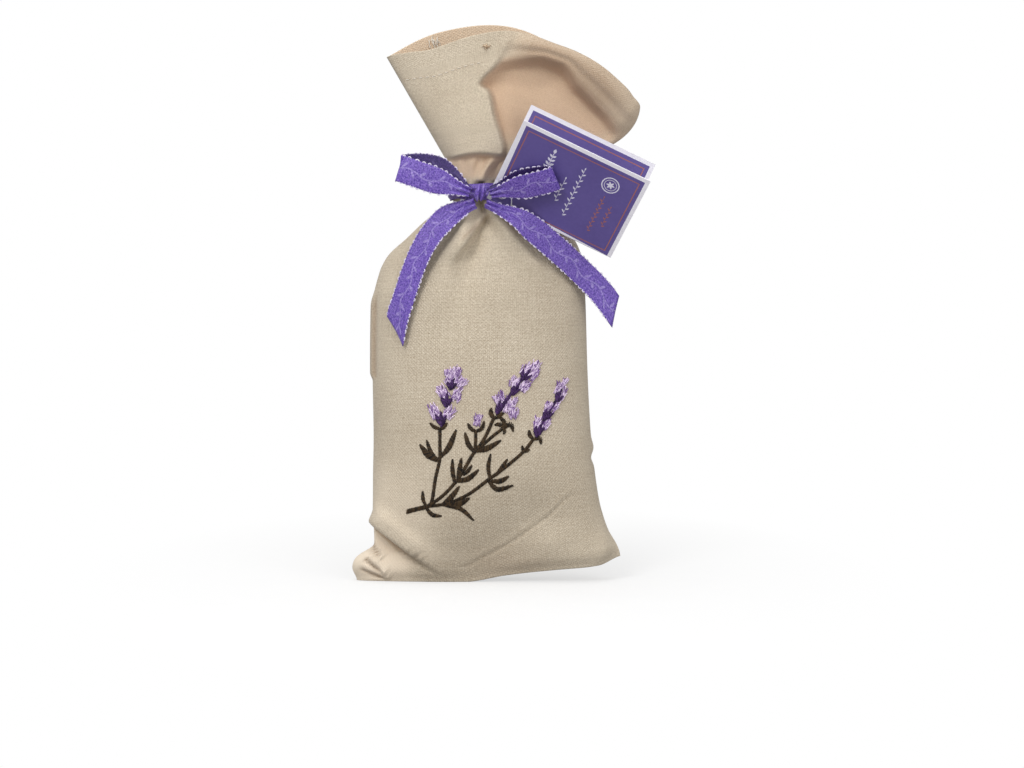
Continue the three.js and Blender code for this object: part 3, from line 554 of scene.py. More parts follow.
# Small creases of the ear, along which shade is also painted: start, end, half width and depth
EAR_CREASES_AND_SHADE = [
    ((-44.6, 15.0), (-41.6, 9.6), 1.0, 2.0),
    ((-47.4, 9.2), (-40.4, 3.6), 0.9, 2.6),
    ((-49.0, 5.0), (-39.0, 1.0), 0.9, 2.0),
]
EAR_LAP = 1.5

# Long crease at the lower right: its course, depth, and the groove along its thin line (place across, height)
BELLY_CREASE = ((-8.8, 2.5), (34.2, 35.0))
BELLY_DEPTH = 3.8
BELLY_GROOVE = 0.5
BELLY_LINE = through([(-9.8, 6.2), (-2.0, 10.0), (8.2, 15.5), (16.1, 21.0), (22.3, 25.4), (33.3, 34.4)])
# How far the foot comes out again below the crease
APRON = 3.4

# Strip of the back's cloth along the left edge: its inner edge across the panel, step and groove
STRIP_PLACE = -0.83
STRIP_STEP = 1.0
SEAM_GROOVE = 1.4
# Heights over which the strip begins and ends
STRIP_FOOT = (78.0, 79.8)
STRIP_HEAD = (106.0, 113.0)


def pleats(t, below, rows):
    """Height of the pleats at a place across the panel and a drop below the tie."""
    total = np.zeros_like(t)
    for place, half, height, reach in rows:
        total += height * fall(below, 0.2 * reach, 1.15 * reach) * bell(t, place, half)
    return total * (PLEAT_AT_TIE + (1.0 - PLEAT_AT_TIE) * smooth(below, 3.0, 9.0))


def crease(x, z, start, end, half, depth):
    """A valley along a line on the front, fading at both of its ends."""
    run, off, length = line_places(x, z, start, end)
    fade = smooth(run, -0.12 * length, 0.18 * length) * fall(run, 0.7 * length, 1.1 * length)
    return depth * fade * np.exp(-np.abs(off / half))


def lap(x, z, start, end, height, sharp, spread):
    """A fold laid over along a line: a crisp edge on the line, raised on the left of the way along it."""
    run, off, length = line_places(x, z, start, end)
    fade = smooth(run, -0.2 * length, 0.4 * length) * fall(run, length, 1.2 * length)
    return height * fade * smooth(off, -sharp, sharp) * fall(off, sharp, spread)


def below_tuck(x, z):
    """Distance along the tuck's line and below it."""
    run, off, _ = line_places(x, z, *TUCK)
    return run, -off


def tuck(x, z, out):
    """The lower left corner, where the filled bag rolls over its folded-back ear."""
    run, below = below_tuck(x, z)
    fade = fall(run, *TUCK_FADE)
    roll = TUCK_ROLL * bell(below, -3.0, 3.6) * fade * smooth(out, 0.6, 5.0)
    drop = fade * smooth(below, -0.5, 0.6) * fall(below, 1.2, 12.0)
    return out + roll - drop * np.minimum(0.8 * out, EAR_SET_BACK)


def belly_crease(x, z):
    """The long crease: the belly turns under towards it, and the foot comes out again below it."""
    run, off, length = line_places(x, z, *BELLY_CREASE)
    fade = smooth(run, -16.0, 8.0) * fall(run, 0.62 * length, 1.05 * length)
    above = fall(off, -0.3, 24.0)
    beneath = 1.0 - 0.75 * smooth(-off, -0.3, 15.0)
    return BELLY_DEPTH * fade * np.where(off > 0, above, beneath)


def front_folds(x, z, out):
    """Folds and creases of the front."""
    out = tuck(x, z, out)
    out = out - belly_crease(x, z) * smooth(out, 3.0, 12.0)
    out = out + APRON * smooth(x, 12.0, 38.0) * bell(z, 3.0, 11.0) * smooth(out, 0.5, 4.0)
    for row in FRONT_LAPS:
        out = out + lap(x, z, *row)
    return out


def strip_span(z):
    return smooth(z, *STRIP_FOOT) * fall(z, *STRIP_HEAD)


def side_strip(t, z):
    """1 on the strip at the left edge, 0 elsewhere."""
    return smooth(-t, -STRIP_PLACE - 0.02, -STRIP_PLACE + 0.03) * strip_span(z)


def body_rows():
    """Heights of the rows from the foot to the top of the tied neck, closer together near the foot."""
    u = np.linspace(0.0, 1.0, BODY_ROWS + 1)
    rising = NECK_FOOT * (0.72 * u + 0.28 * np.sin(u * math.pi / 2))
    rising = np.where(rising < CLOSE_ROWS, rising * (0.45 + 0.55 * rising / CLOSE_ROWS), rising)
    return np.concatenate([rising, np.linspace(NECK_FOOT, NECK_TOP, NECK_ROWS + 1)[1:]])


def body_grid(side):
    """Points of one panel from its foot to the top of the tied neck."""
    z, t = np.meshgrid(body_rows(), np.linspace(-1.0, 1.0, COLUMNS + 1), indexing="ij")
    angle = t * math.pi / 2
    left, right = LEFT_EDGE(z), RIGHT_EDGE(z)
    x = (left + right) / 2 + (right - left) / 2 * np.sin(angle)
    x = x + smooth(t, 0.8, 1.0) * sum(push * bell(z, height, reach) for push, height, reach in SEAM_DENTS)
    x = x - STRIP_STEP * side_strip(t, z)
    power = POINTEDNESS(z)
    if side < 0:
        power = power - sum(FULLER_POWER * smooth(-t, *edge) * bell(z, *belt) for edge, belt in FULLER)
    across = np.maximum(np.cos(angle), 0.0)
    out = DEPTH[side](z) * across**power
    out = out + pleats(t, TIE_HEIGHT - z, PLEATS[side]) * np.sqrt(across)
    if side < 0:
        out = front_folds(x, z, out) - SEAM_GROOVE * bell(t, STRIP_PLACE, 0.025) * strip_span(z)
    z = z + FOOT_LIFT(x) * fall(z, 0.0, FOOT_LIFT_TOP)
    return np.stack([x, side * np.maximum(out, 0.0), z], axis=-1)


def floor_grid(edge):
    """The underside, from the bottom seam out to the foot of the panel."""
    grid = edge[None].repeat(FLOOR_ROWS, 0)
    grid[..., 1] *= np.arange(FLOOR_ROWS)[:, None] / FLOOR_ROWS
    return grid


# Ruff above the tie

# Lean of the ruff at its two seams in degrees, the length over which it bends there, and its curl at the rim
RUFF_LEFT_ANGLE = -30.0
RUFF_RIGHT_ANGLE = 86.0
RUFF_LEFT_BEND = 7.0
RUFF_RIGHT_BEND = 12.0
RUFF_CURL = 0.95
RUFF_CURL_POWER = 3.5
RUFF_PLEAT_REACH = 60.0
# Depth of the open rim, the flap, the hollow beside it, the rolled rim and the tube-like fold at the tie
RIM_DEPTH = 10.0
FLAP_FOOT = 0.18
FLAP_HANG = 4.4
HOLLOW_DEPTH = 5.6
HOLLOW_DEEPER = 4.0
ROLL = 2.6
ROLL_GROOVE = 1.3
TUBE_FOLD = 3.2
# Length of the ruff, and how far the front rim lies below the back rim: place across the panel, size
RUFF_LENGTH = through(
    [(-1, 54.2), (-0.6, 57.8), (-0.2, 61.2), (0.1, 59.6), (0.5, 59.6), (0.8, 61.2), (1, 64)]
)
RIM_DROP = through(
    [(-1, 0), (-0.86, 2.4), (-0.66, 5.7), (-0.4, 4), (-0.2, 1.8)]
    + [(0, 0.2), (0.2, -0.9), (0.4, -1.2), (0.7, -0.9), (1, 0)]
)
# Free edge of the flat flap at the left of the ruff: share of the way up, place across the panel
FLAP_EDGE = through(
    [(0, 0.5), (0.19, 0.28), (0.275, 0.14), (0.322, 0.05), (0.45, -0.14)]
    + [(0.606, -0.26), (0.662, -0.34), (0.775, -0.25), (1, -0.2)]
)
# Lower edge of the rolled rim: place across the panel, share of the way up
ARCH = through(
    [(-1, 0.6), (-0.34, 0.66), (-0.21, 0.78), (-0.1, 0.82), (0.06, 0.88)]
    + [(0.15, 0.88), (0.35, 0.805), (0.6, 0.778), (1, 0.765)]
)
# Hem of the mouth: rows below the rim, columns of the flap that show it, pitch and thread of its stitches
HEM_ROWS = 13
HEM_COLUMNS = slice(3, 36)
HEM_PITCH = 2.3
HEM_THREAD = 0.12


def rim_band(t, share):
    """Share of the way from the lower edge of the rolled rim up to the rim."""
    return np.clip((share - ARCH(t)) / (1.0 - ARCH(t)), 0.0, 1.0)


def ruff_out(side, t, share):
    """How far a point of the ruff stands out from the seam plane."""
    across = np.maximum(np.cos(t * math.pi / 2), 0.0)
    round_off = np.sqrt(across)
    open_out = NECK_RADIUS + (RIM_DEPTH - NECK_RADIUS) * smooth(share, 0, 1)
    base = open_out * across ** np.where(t < 0, 0.5, 0.75)
    ripples = pleats(t, share * RUFF_PLEAT_REACH, PLEATS[side])
    if side > 0:
        return base + 0.8 * ripples * round_off
    edge = t - FLAP_EDGE(share)
    beyond = smooth(edge, -0.012, 0.035)
    hung = FLAP_HANG * smooth(share, FLAP_FOOT - 0.012, FLAP_FOOT + 0.016)
    hung = hung * (1.0 - 0.75 * smooth(share, 0.24, 0.95)) * (1.0 - beyond) * fall(t, 0.2, 0.34)
    hollow = (HOLLOW_DEPTH + HOLLOW_DEEPER * smooth(edge, 0.05, 0.5)) * beyond
    hollow = hollow * fall(t, 0.74, 0.98) * smooth(share, 0.16, 0.4) * fall(share - ARCH(t), -0.055, 0.012)
    band = rim_band(t, share)
    roll = ROLL * np.sin(math.pi * band**0.8) - ROLL_GROOVE * bell(band, 0.4, 0.13) * (band > 0)
    roll = smooth(t, -0.3, -0.05) * fall(t, 0.85, 1.0) * roll
    tube_fold = TUBE_FOLD * bell(t, 0.95 * share - 0.01, 0.11) * fall(share, 0.08, FLAP_FOOT + 0.02)
    lower = 0.3 * ripples * fall(share, 0.10, 0.22)
    return np.maximum(base + (hung + lower) * round_off - hollow + tube_fold + roll, 0.4 * across)


def ruff_grid(side, foot):
    """Columns that fan out from the tied neck to the open mouth."""
    t = np.linspace(-1.0, 1.0, COLUMNS + 1)
    length = RUFF_LENGTH(t) - (RIM_DROP(t) if side < 0 else 0.0)
    spread = RUFF_LEFT_ANGLE + (RUFF_RIGHT_ANGLE - RUFF_LEFT_ANGLE) * (t + 1) / 2
    bend = RUFF_LEFT_BEND + (RUFF_RIGHT_BEND - RUFF_LEFT_BEND) * smooth(t, -1.0, 0.2)
    x, z = foot[:, 0], foot[:, 2]
    rows = []
    for i in range(1, RUFF_ROWS + 1):
        share = (i - 0.5) / RUFF_ROWS
        curl = RUFF_CURL * np.maximum(t, 0.0) * share**RUFF_CURL_POWER
        angle = np.radians(spread * (smooth(share * length, 0.0, bend) * (1.0 - curl)))
        x = x + length / RUFF_ROWS * np.sin(angle)
        z = z + length / RUFF_ROWS * np.cos(angle)
        rows.append(np.stack([x, side * ruff_out(side, t, np.full_like(t, i / RUFF_ROWS)), z], axis=-1))
    return np.stack(rows)


# Cloth of the bag


def panel_grid(side):
    body = body_grid(side)
    grid = np.concatenate([floor_grid(body[0]), body, ruff_grid(side, body[-1])])
    grid[:, [0, -1], 1] = 0.0
    return grid


def build_bag():
    """The points of both panels as one tube of cloth, and each panel's grid with its point numbers."""
    front, back = panel_grid(-1), panel_grid(1)
    rows, columns = front.shape[:2]
    number = np.arange(rows * columns).reshape(rows, columns)
    behind = number.copy()
    inner = (rows - 1, columns - 2)
    behind[1:, 1:-1] = number.size + np.arange(math.prod(inner)).reshape(inner)
    points = np.concatenate([front.reshape(-1, 3), back[1:, 1:-1].reshape(-1, 3)])
    return points, (front, number), (back, behind)


def finer(grid):
    """The same surface with one more point between each two, on the smooth curve through them."""
    for axis in (0, 1):
        grid = np.moveaxis(grid, axis, 0)
        ends = np.concatenate([2 * grid[:1] - grid[1:2], grid, 2 * grid[-1:] - grid[-2:-1]])
        fine = np.empty((2 * len(grid) - 1, *grid.shape[1:]))
        fine[::2] = grid
        fine[1::2] = (9 * (ends[1:-2] + ends[2:-1]) - ends[:-3] - ends[3:]) / 16
        grid = np.moveaxis(fine, 0, axis)
    return grid


def eased(grid, rounds):
    """Evens a surface out: each point goes half way to the middle of its neighbours, along both ways."""
    for axis in (0, 1) * rounds:
        line = np.moveaxis(grid, axis, 0)
        line[1:-1] = (line[:-2] + 2 * line[1:-1] + line[2:]) / 4
    return grid


def panel_places(grid):
    """Place across the panel and share of the way up the ruff, for each point of a finer grid."""
    rows, columns = grid.shape[:2]
    t = np.linspace(-1.0, 1.0, columns)[None, :].repeat(rows, 0)
    share = (np.arange(rows)[:, None] - (rows - 1 - 2 * RUFF_ROWS)) / (2 * RUFF_ROWS)
    return t, np.clip(share, 0.0, 1.0).repeat(columns, 1)


def warmth(grid, side):
    """Where light comes back from cloth close by: the ruff's hollow, its inside and the folded ear."""
    t, share = panel_places(grid)
    if side > 0:
        return 0.55 * smooth(share, 0.3, 0.6)
    above_arch = share - ARCH(t)
    hollow = smooth(t - FLAP_EDGE(share), -0.01, 0.05) * smooth(share, 0.2, 0.4) * fall(above_arch, 0.0, 0.06)
    hollow = hollow * (1 - 0.4 * smooth(t, 0.75, 1))
    collar = 0.7 * smooth(share, 0.0, 0.06) * fall(share, FLAP_FOOT - 0.02, FLAP_FOOT + 0.02)
    band = 0.35 * smooth(t, -0.3, 0.0) * smooth(above_arch, 0.0, 0.06)
    x, z = grid[..., 0], grid[..., 2]
    along, below = below_tuck(x, z)
    ear = 0.75 * smooth(below, 0.0, 2.0) * fall(below, 6.0, 16.0) * fall(along, 8.0, 26.0)
    ear = ear * smooth(-x, 18.0, 30.0) * (share <= 0)
    return np.clip(hollow + band + collar + ear, 0.0, 1.0)


def shading(grid):
    """Painted shade: on and under the rolled rim, on the hem, in sharp folds, on the strip, by the foot."""
    t, share = panel_places(grid)
    band = rim_band(t, share)
    rolled = smooth(t, -0.28, 0.02) * (1.0 - 0.8 * smooth(t, 0.4, 0.95))
    under = bell(share - ARCH(t), 0.0, 0.05)
    over = smooth(band, 0.02, 0.2) * (1.0 - 0.75 * smooth(band, 0.55, 0.95)) + 0.25 * (band > 0)
    rim = np.clip(rolled * np.maximum(under, over), 0.0, 1.0) * (share > 0)
    rim = rim + 0.3 * bell(share, 1.0 - HEM_ROWS / RUFF_ROWS, 0.009) * fall(t, -0.37, -0.33)
    x, z = grid[..., 0], grid[..., 2]
    foot = 0.45 * bell(x, 6.0, 16.0) * bell(z, 6.0, 9.0)
    along, below = below_tuck(x, z)
    # Painted shadow under the tuck's edge, then painted shade along the ear's creases and the folds under the
    # knot
    line = 0.8 * bell(below, 0.9, 0.7) * fall(along, 16.0, 31.0) * smooth(-x, 14.0, 20.0)
    for start, end, half, *_ in [*EAR_CREASES_AND_SHADE, *KNOT_FOLD_SHADE]:
        line = np.maximum(line, crease(x, z, start, end, half, 0.9))
    strip = 0.4 * side_strip(t, z) + 0.7 * bell(t, STRIP_PLACE, 0.022) * strip_span(z)
    return rim + (share <= 0) * np.clip(foot + line + strip, 0.0, 1.0)


def painted_light(grid):
    """Painted light on the front: the folded ear and the lower left of the belly."""
    x, z = grid[..., 0], grid[..., 2]
    along, below = below_tuck(x, z)
    ear = smooth(below, 1.0, 3.0) * fall(along, 14.0, 32.0) * smooth(-x, 20.0, 32.0)
    belly = 0.32 * fall(below, -4.0, 1.0) * smooth(-x, 12.0, 30.0) * fall(z, 30.0, 60.0)
    return np.clip(ear + belly, 0.0, 1.0) * (z < 80.0)


# Settling of the cloth: frames, greatest shift, and the fabric's settings
SIM_FRAMES = 20
SIM_CAP = 3.5
FABRIC = {
    "quality": 8,
    "mass": 0.15,
    "tension_stiffness": 20.0,
    "compression_stiffness": 20.0,
    "shear_stiffness": 6.0,
    "bending_stiffness": 0.25,
    "air_damping": 4.0,
    "use_pressure": True,
    "uniform_pressure_force": 4.0,
    "shrink_min": -0.035,
    "vertex_group_mass": "held",
}


def settle(points, faces, held, cap):
    """Lets the filling press the cloth out: spare cloth wrinkles, and no point moves further than its cap."""
    obj = new_object("settling_cloth", points, faces)
    obj.vertex_groups.new(name="held").add(np.flatnonzero(held).tolist(), 1.0, "REPLACE")
    fabric = obj.modifiers.new("cloth", "CLOTH").settings
    for key, value in FABRIC.items():
        setattr(fabric, key, value)
    fabric.effector_weights.gravity = 0.0
    scene = bpy.context.scene
    for step in range(1, SIM_FRAMES + 1):
        scene.frame_set(step)
    shape = obj.evaluated_get(bpy.context.evaluated_depsgraph_get())
    mesh = shape.to_mesh()
    moved = np.empty(len(points) * 3)
    mesh.vertices.foreach_get("co", moved)
    shape.to_mesh_clear()
    scene.frame_set(1)
    bpy.data.objects.remove(obj)
    shift = moved.reshape(-1, 3) / MM - points
    far = np.linalg.norm(shift, axis=1, keepdims=True)
    limit = np.asarray(cap, float)[:, None]
    return points + shift * (limit * np.tanh(far / limit) / np.maximum(far, 1e-9))


def filled_out(points):
    """The bag after settling: underside and neck are held, and folds and foot move less than the rest."""
    row = np.arange(len(number))[:, None].repeat(COLUMNS + 1, 1)
    row = np.concatenate([row.ravel(), row[1:, 1:-1].ravel()])
    neck_end = NECK_ROW + NECK_ROWS
    held = (row <= FLOOR_ROWS) | ((row >= NECK_ROW) & (row <= neck_end))
    x, y, z = points.T
    run, below = below_tuck(x, z)
    folded = bell(below, 2.0, 8.0) * fall(run, 24.0, 40.0) + smooth(z, 112.0, 128.0)
    folded = np.clip(folded, 0.0, 1.0) * (y < 0)
    firm = 0.25 + 0.75 * smooth(z, 10.0, 26.0)
    ruff = smooth(row, neck_end, neck_end + 6)
    cap = (SIM_CAP - 2.0 * ruff) * (1.0 - 0.7 * folded) * firm
    return settle(points, quads(number) + quads(behind, outward=False), held, cap)


def press_folds(grid):
    """Presses the sharp folds of the front into the settled cloth: the tuck hangs over the ear."""
    pressed = grid.copy()
    near = (slice(2 * FLOOR_ROWS + 4, 2 * NECK_ROW), slice(2, -2))
    x, y, z = np.moveaxis(grid[near], -1, 0)
    along = unit(np.subtract(TUCK[1], TUCK[0]))
    run, below = below_tuck(x, z)
    fade = fall(run, 18.0, 36.0) * smooth(-y, 0.5, 3.0)
    over = fade * bell(below, -1.0, 1.4)
    down = TUCK_OVERHANG * over
    deeper = TUCK_GROOVE * fade * bell(below, 1.4, 1.0) - 0.6 * over
    off = 0.8 * (z - BELLY_LINE(x))
    drawn = smooth(x, -14.0, -4.0) * fall(x, 24.0, 38.0)
    deeper = deeper + BELLY_GROOVE * drawn * bell(off, 0.0, 0.6) - 0.2 * drawn * bell(off, 1.6, 1.2)
    for start, end, half, depth in EAR_CREASES_AND_SHADE:
        deeper = deeper + crease(x, z, start, end, half, depth) - lap(x, z, start, end, EAR_LAP, 0.3, 4.5)
    place = [x + down * along[1], np.minimum(y + deeper, -0.3), np.maximum(z - down * along[0], 0.2)]
    pressed[near] = np.stack(place, axis=-1)
    return pressed


def thin_corners(obj, cloth):
    """Makes the cloth thinner at the two corners of the foot, so that its inside stays in the bag."""
    corners = obj.vertex_groups.new(name="foot_corners")
    for corner in (cloth[0, 0], cloth[0, -1]):
        thinner = 0.9 * fall(np.linalg.norm(cloth - corner, axis=-1), 1.5, 4.5).ravel()
        for i in np.flatnonzero(thinner > 0):
            corners.add([int(i)], float(thinner[i]), "REPLACE")
    thick = obj.modifiers["thickness"]
    thick.vertex_group = "foot_corners"
    thick.invert_vertex_group = True


def add_panel(name, node, side, at, grid):
    """One panel as its own piece, with its weave laid out flat."""
    front = side < 0
    cloth = eased(finer(points[at]), EASING)
    cloth[..., 2] = np.maximum(cloth[..., 2], FLOOR_CLEAR)
    if front:
        cloth = press_folds(cloth)
    grid = finer(grid)
    rows, columns = grid.shape[:2]
    u = np.linspace(-1.0, 1.0, columns) * FLAT_HALF_WIDTH
    run = run_along(front_grid[:, COLUMNS // 2])
    v = np.interp(np.arange(rows) / 2, np.arange(len(run)), run)
    obj = cloth_object(name, cloth, u, v, front, (LINEN if front else LINEN_PLAIN, LINEN), CLOTH, -1.0)
    # Painted light on the linen: warm is bounce light from cloth close by, shade is painted shade, pale is
    # painted light
    paint(obj, "warm", warmth(grid, side))
    paint(obj, "shade", shading(grid) if front else np.zeros(rows * columns))
    paint(obj, "pale", painted_light(grid) if front else np.zeros(rows * columns))
    thin_corners(obj, cloth)
    attach(obj, "bag", node)
    return obj


points, (front_grid, number), (back_grid, behind) = build_bag()
points = filled_out(points)
bag_front = add_panel("bag_front_cloth", "bag_front_panel", -1, number, front_grid)
bag_back = add_panel("bag_back_cloth", "bag_back_panel", 1, behind, back_grid)

# Leaves of the label, on one of which the right loop lies

# Opening of the front leaf in degrees
LABEL_OPENING = 34.0


def joint_named(name):
    return next(joint for joint in frame["record"]["behaviour"]["joints"] if joint["name"] == name)


def leaf_frame(front):
    """Origin, direction along the fold and direction up the leaf."""
    swivel, opening = joint_named("label_swivel"), joint_named("label_opening")
    along = Vector(opening["axis"]).normalized()
    up = along.cross(Vector((0, 1, 0)))
    if front:
        turn = Matrix.Rotation(math.radians(LABEL_OPENING), 3, along)
        return Vector(opening["pos_m"]) / MM, along, turn @ up
    return Vector(swivel["pos_m"]) / MM, along, up


# Ribbon

# Ribbon, the reach of its slanting cut, and the thread loops along its edges
RIBBON_WIDTH = 10.0
RIBBON_THICKNESS = 0.28
RIBBON_POINTS_ACROSS = 17
TAIL_POINTS = 56
LOOP_POINTS = 72
CUT_REACH = 14.0
PICOT_START = 4.0
PICOT_END = 0.3
PICOT_PITCH = 2.3
PICOT_LENGTH = 1.5
PICOT_REACH = 0.55
PICOT_THREAD = 0.26
# Knot and neck band
KNOT = (-2.5, -19.5, 150.0)
KNOT_DEPTH = 2.0
KNOT_HEIGHT = 2.7
BAND_RADIUS = 12.0
# Lean of the loops in degrees: the left one's turn to the front and rise, and the right one's rise on the
# label's front leaf
LEFT_LOOP_FORWARD = 8.0
LEFT_LOOP_RISE = 19.0
RIGHT_LOOP_RISE = 44.0
# Middle line of each tail, from the knot to its slanted end
LEFT_TAIL = [
    (-4.6, -19.6, 146.4),
    (-9.0, -18.9, 144.6),
    (-15.8, -17.9, 140.4),
    (-21.6, -17.2, 133.4),
    (-25.6, -16.8, 126.2),
    (-29.0, -16.6, 118.4),
    (-31.6, -16.4, 110.6),
    (-33.6, -15.8, 103.4),
    (-34.8, -15.2, 97.4),
]
RIGHT_TAIL = [
    (-0.4, -20.0, 146.2),
    (5.0, -21.6, 144.0),
    (11.6, -22.6, 140.9),
    (17.0, -20.9, 136.6),
    (23.0, -18.2, 131.4),
    (30.0, -14.8, 125.4),
    (37.4, -10.8, 118.2),
    (43.6, -9.2, 111.4),
    (48.9, -8.4, 104.4),
]
# The ribbon's way through the label's hole and back to the neck band
LABEL_TIE = [
    (1.0, -17.4, 150.2),
    (4.4, -17.6, 150.0),
    (5.8, -16.6, 150.0),
    (5.6, -14.4, 150.0),
    (3.4, -11.4, 150.0),
]


class Strip:
    """A ribbon along a middle line: its surface points, row by row, and its flat layout."""

    def __init__(self, middle, across, width, pinch, camber=0.0, cut=0.0, ripple=0.0):
        along = unit(np.gradient(middle, axis=0))
        across = np.broadcast_to(np.asarray(across, float), middle.shape)
        across = unit(across - along * np.sum(across * along, axis=1, keepdims=True))
        normal = np.cross(along, across)
        run = run_along(middle)
        width = np.broadcast_to(np.asarray(width, float), run.shape)
        pinch = np.broadcast_to(np.asarray(pinch, float), run.shape)
        w = np.linspace(-1.0, 1.0, RIBBON_POINTS_ACROSS)
        place = middle[:, None] + across[:, None] * (w[None, :, None] * width[:, None, None] / 2)
        fold = pinch[:, None] * 0.9 * np.cos(w * 2.2 * math.pi)[None]
        wave = ripple * np.sin(run / 5.5)[:, None] * w[None] ** 2
        out = camber * (1 - w[None] ** 2) + fold + wave
        slant = cut * w[None] * smooth(run, run[-1] - CUT_REACH, run[-1])[:, None]
        self.points = place + normal[:, None] * out[..., None] + along[:, None] * slant[..., None]
        self.u, self.v = w * RIBBON_WIDTH / 2, run
        self.flat = (RIBBON_WIDTH * MM, run[-1] * MM)

    def add(self, name, body, node=None, inside_out=False):
        sides = (RIBBON_BACK, RIBBON) if inside_out else (RIBBON, RIBBON_BACK)
        obj = cloth_object(name, self.points, self.u, self.v, True, sides, RIBBON_THICKNESS, 0.0)
        attach(obj, body, node)
        return obj

    def add_picots(self, name, body):
        """Small uneven thread loops along both edges."""
        rng = random.Random(len(name))
        u = np.linspace(0.0, 1.0, 7)
        parts = []
        for column, near in ((0, 1), (-1, -2)):
            edge = self.points[:, column]
            far = run_along(edge)
            start = PICOT_START
            while start + PICOT_LENGTH < far[-1] - PICOT_END:
                row = int(np.clip(np.searchsorted(far, start), 1, len(edge) - 2))
                outward = unit(edge[row] - self.points[row, near])
                at = start + PICOT_LENGTH * rng.uniform(0.7, 1.1) * u
                out = PICOT_REACH * rng.uniform(0.5, 1.1) * np.sin(math.pi * u) - 0.2
                foot = np.stack([np.interp(at, far, edge[:, k]) for k in range(3)], axis=-1)
                parts.append(tube(foot + outward * out[:, None], PICOT_THREAD * rng.uniform(0.75, 1.15), 5))
                start += PICOT_PITCH * rng.uniform(0.8, 1.35)
        add_threads(name, parts, PICOT, body)


def add_ribbon(strip, node, body, held):
    """The ribbon piece and its edge loops, both riding on a body."""
    piece = strip.add(node + "_weave", body, node, held == "folded")
    strip.add_picots(node + "_picots", body)


def root_width(share, low, full):
    return RIBBON_WIDTH * (low + (1 - low) * smooth(share, 0.0, full))


def tail_strip(knots, cut, face, ripple, low, full):
    middle = spline(knots, TAIL_POINTS)
    share = np.linspace(0.0, 1.0, len(middle))
    across = np.cross(unit(np.gradient(middle, axis=0)), unit(np.asarray(face, float)))
    return Strip(middle, across, root_width(share, low, full), fall(share, 0.0, 0.28), 0.35, cut, ripple)


def loop_axes(along, up, rise):
    """Directions away from the knot, through the loop and across its ribbon."""
    along, up, rise = np.array(along), np.array(up), math.radians(rise)
    away = math.cos(rise) * along + math.sin(rise) * up
    across = math.cos(rise) * up - math.sin(rise) * along
    return np.stack([away, np.cross(across, away), across])


def loop_strip(origin, axes, length, gap, high, split):
    """A bow loop along its own axes, with its two halves set apart across the ribbon."""
    u = np.linspace(0.0, 1.0, LOOP_POINTS)
    x = length * (1 - np.cos(2 * math.pi * u)) / 2
    share = x / length
    y = -gap / 2 * np.sin(2 * math.pi * u) * np.sqrt(np.maximum(share, 0.0)) - 0.7 * (1 - 2 * u)
    z = split * np.sin(math.pi * np.clip(share, 0, 1)) * np.where(u < 0.5, high, 1 - high)
    middle = np.asarray(origin, float) + np.stack([x + 0.3, y, z], axis=-1) @ axes
    return Strip(middle, axes[2], root_width(share, 0.36, 0.55), 0.8 * fall(share, 0.0, 0.35), 0.2)


def neck_band():
    """Ribbon drawn tight round the neck, bunched into folds."""
    turn = np.linspace(0.0, 2 * math.pi, 97)
    radius = BAND_RADIUS + 0.12 * np.sin(7 * turn) + 0.1 * np.sin(13 * turn + 1)
    rise = 0.35 * np.sin(2 * turn + 0.6) + 0.2 * np.sin(5 * turn)
    x, y, z = NECK_MIDDLE + radius * np.sin(turn), radius * np.cos(turn), TIE_HEIGHT + rise
    strip = Strip(np.stack([x, y, z], axis=-1), (0, 0, 1), 6.2 + 0.4 * np.sin(3 * turn), 0.5)
    piece = strip.add("ribbon_neck_band_weave", "bag", "ribbon_neck_band")


def knot_wrap():
    """The ribbon's crossing, pulled tight: a band round the loops' roots with drawn-in folds."""
    turn = np.linspace(0.0, 2 * math.pi, 49)
    x = KNOT[0] + 0.5 * np.sin(turn)
    y = KNOT[1] - KNOT_DEPTH * np.cos(turn) * (1.0 + 0.06 * np.sin(3 * turn + 0.5))
    z = KNOT[2] + KNOT_HEIGHT * np.sin(turn)
    strip = Strip(np.stack([x, y, z], axis=-1), (1, 0, 0.12), 3.7 + 0.4 * np.cos(2 * turn), 0.95, camber=0.3)
    piece = strip.add("ribbon_knot_weave", "bag", "ribbon_knot")
    through_hole = Strip(spline(LABEL_TIE, 24), (0, 0, 1), 2.6, 0.3).add("ribbon_label_tie", "bag")


forward = math.radians(LEFT_LOOP_FORWARD)
left_axes = loop_axes((-math.cos(forward), -math.sin(forward), 0.0), (0.0, 0.0, 1.0), LEFT_LOOP_RISE)
right_axes = loop_axes(*leaf_frame(front=True)[1:], RIGHT_LOOP_RISE)
left_loop = loop_strip((-6.2, -19.48, 150.0), left_axes, length=28.0, gap=4.4, high=1.0, split=4.2)
right_loop = loop_strip((1.2, -21.8, 150.2), right_axes, length=26.8, gap=3.2, high=0.0, split=1.0)
left_tail = tail_strip(LEFT_TAIL, cut=-4.6, face=(-0.56, -0.82, 0.1), ripple=0.35, low=0.46, full=0.24)
right_tail = tail_strip(RIGHT_TAIL, cut=3.8, face=(0.3, -0.93, 0.2), ripple=0.35, low=0.34, full=0.34)
add_ribbon(left_loop, "ribbon_loop_left", "loop_left", "folded")
add_ribbon(right_loop, "ribbon_loop_right", "loop_right", "folded")
add_ribbon(left_tail, "ribbon_tail_left", "tail_left", "hung")
add_ribbon(right_tail, "ribbon_tail_right", "tail_right", "hung")
neck_band()
knot_wrap()

# Folded label

# Card: size, place and size of the hole, notch of the front leaf, and gap at the fold
LABEL_LENGTH = 52.0
LABEL_WIDTH = 39.0
LABEL_THICKNESS = 0.4
LABEL_INSET = 4.5
LABEL_HOLE = 2.2
LABEL_NOTCH = 9.5
FOLD_GAP = 0.3
# Print: foot of the field, white border, frame line and thickness of a layer of ink
FIELD_FOOT = 0.05
BORDER = 1.6
FRAME_INSET = 3.1
FRAME_LINE = 0.35
INK = 0.02
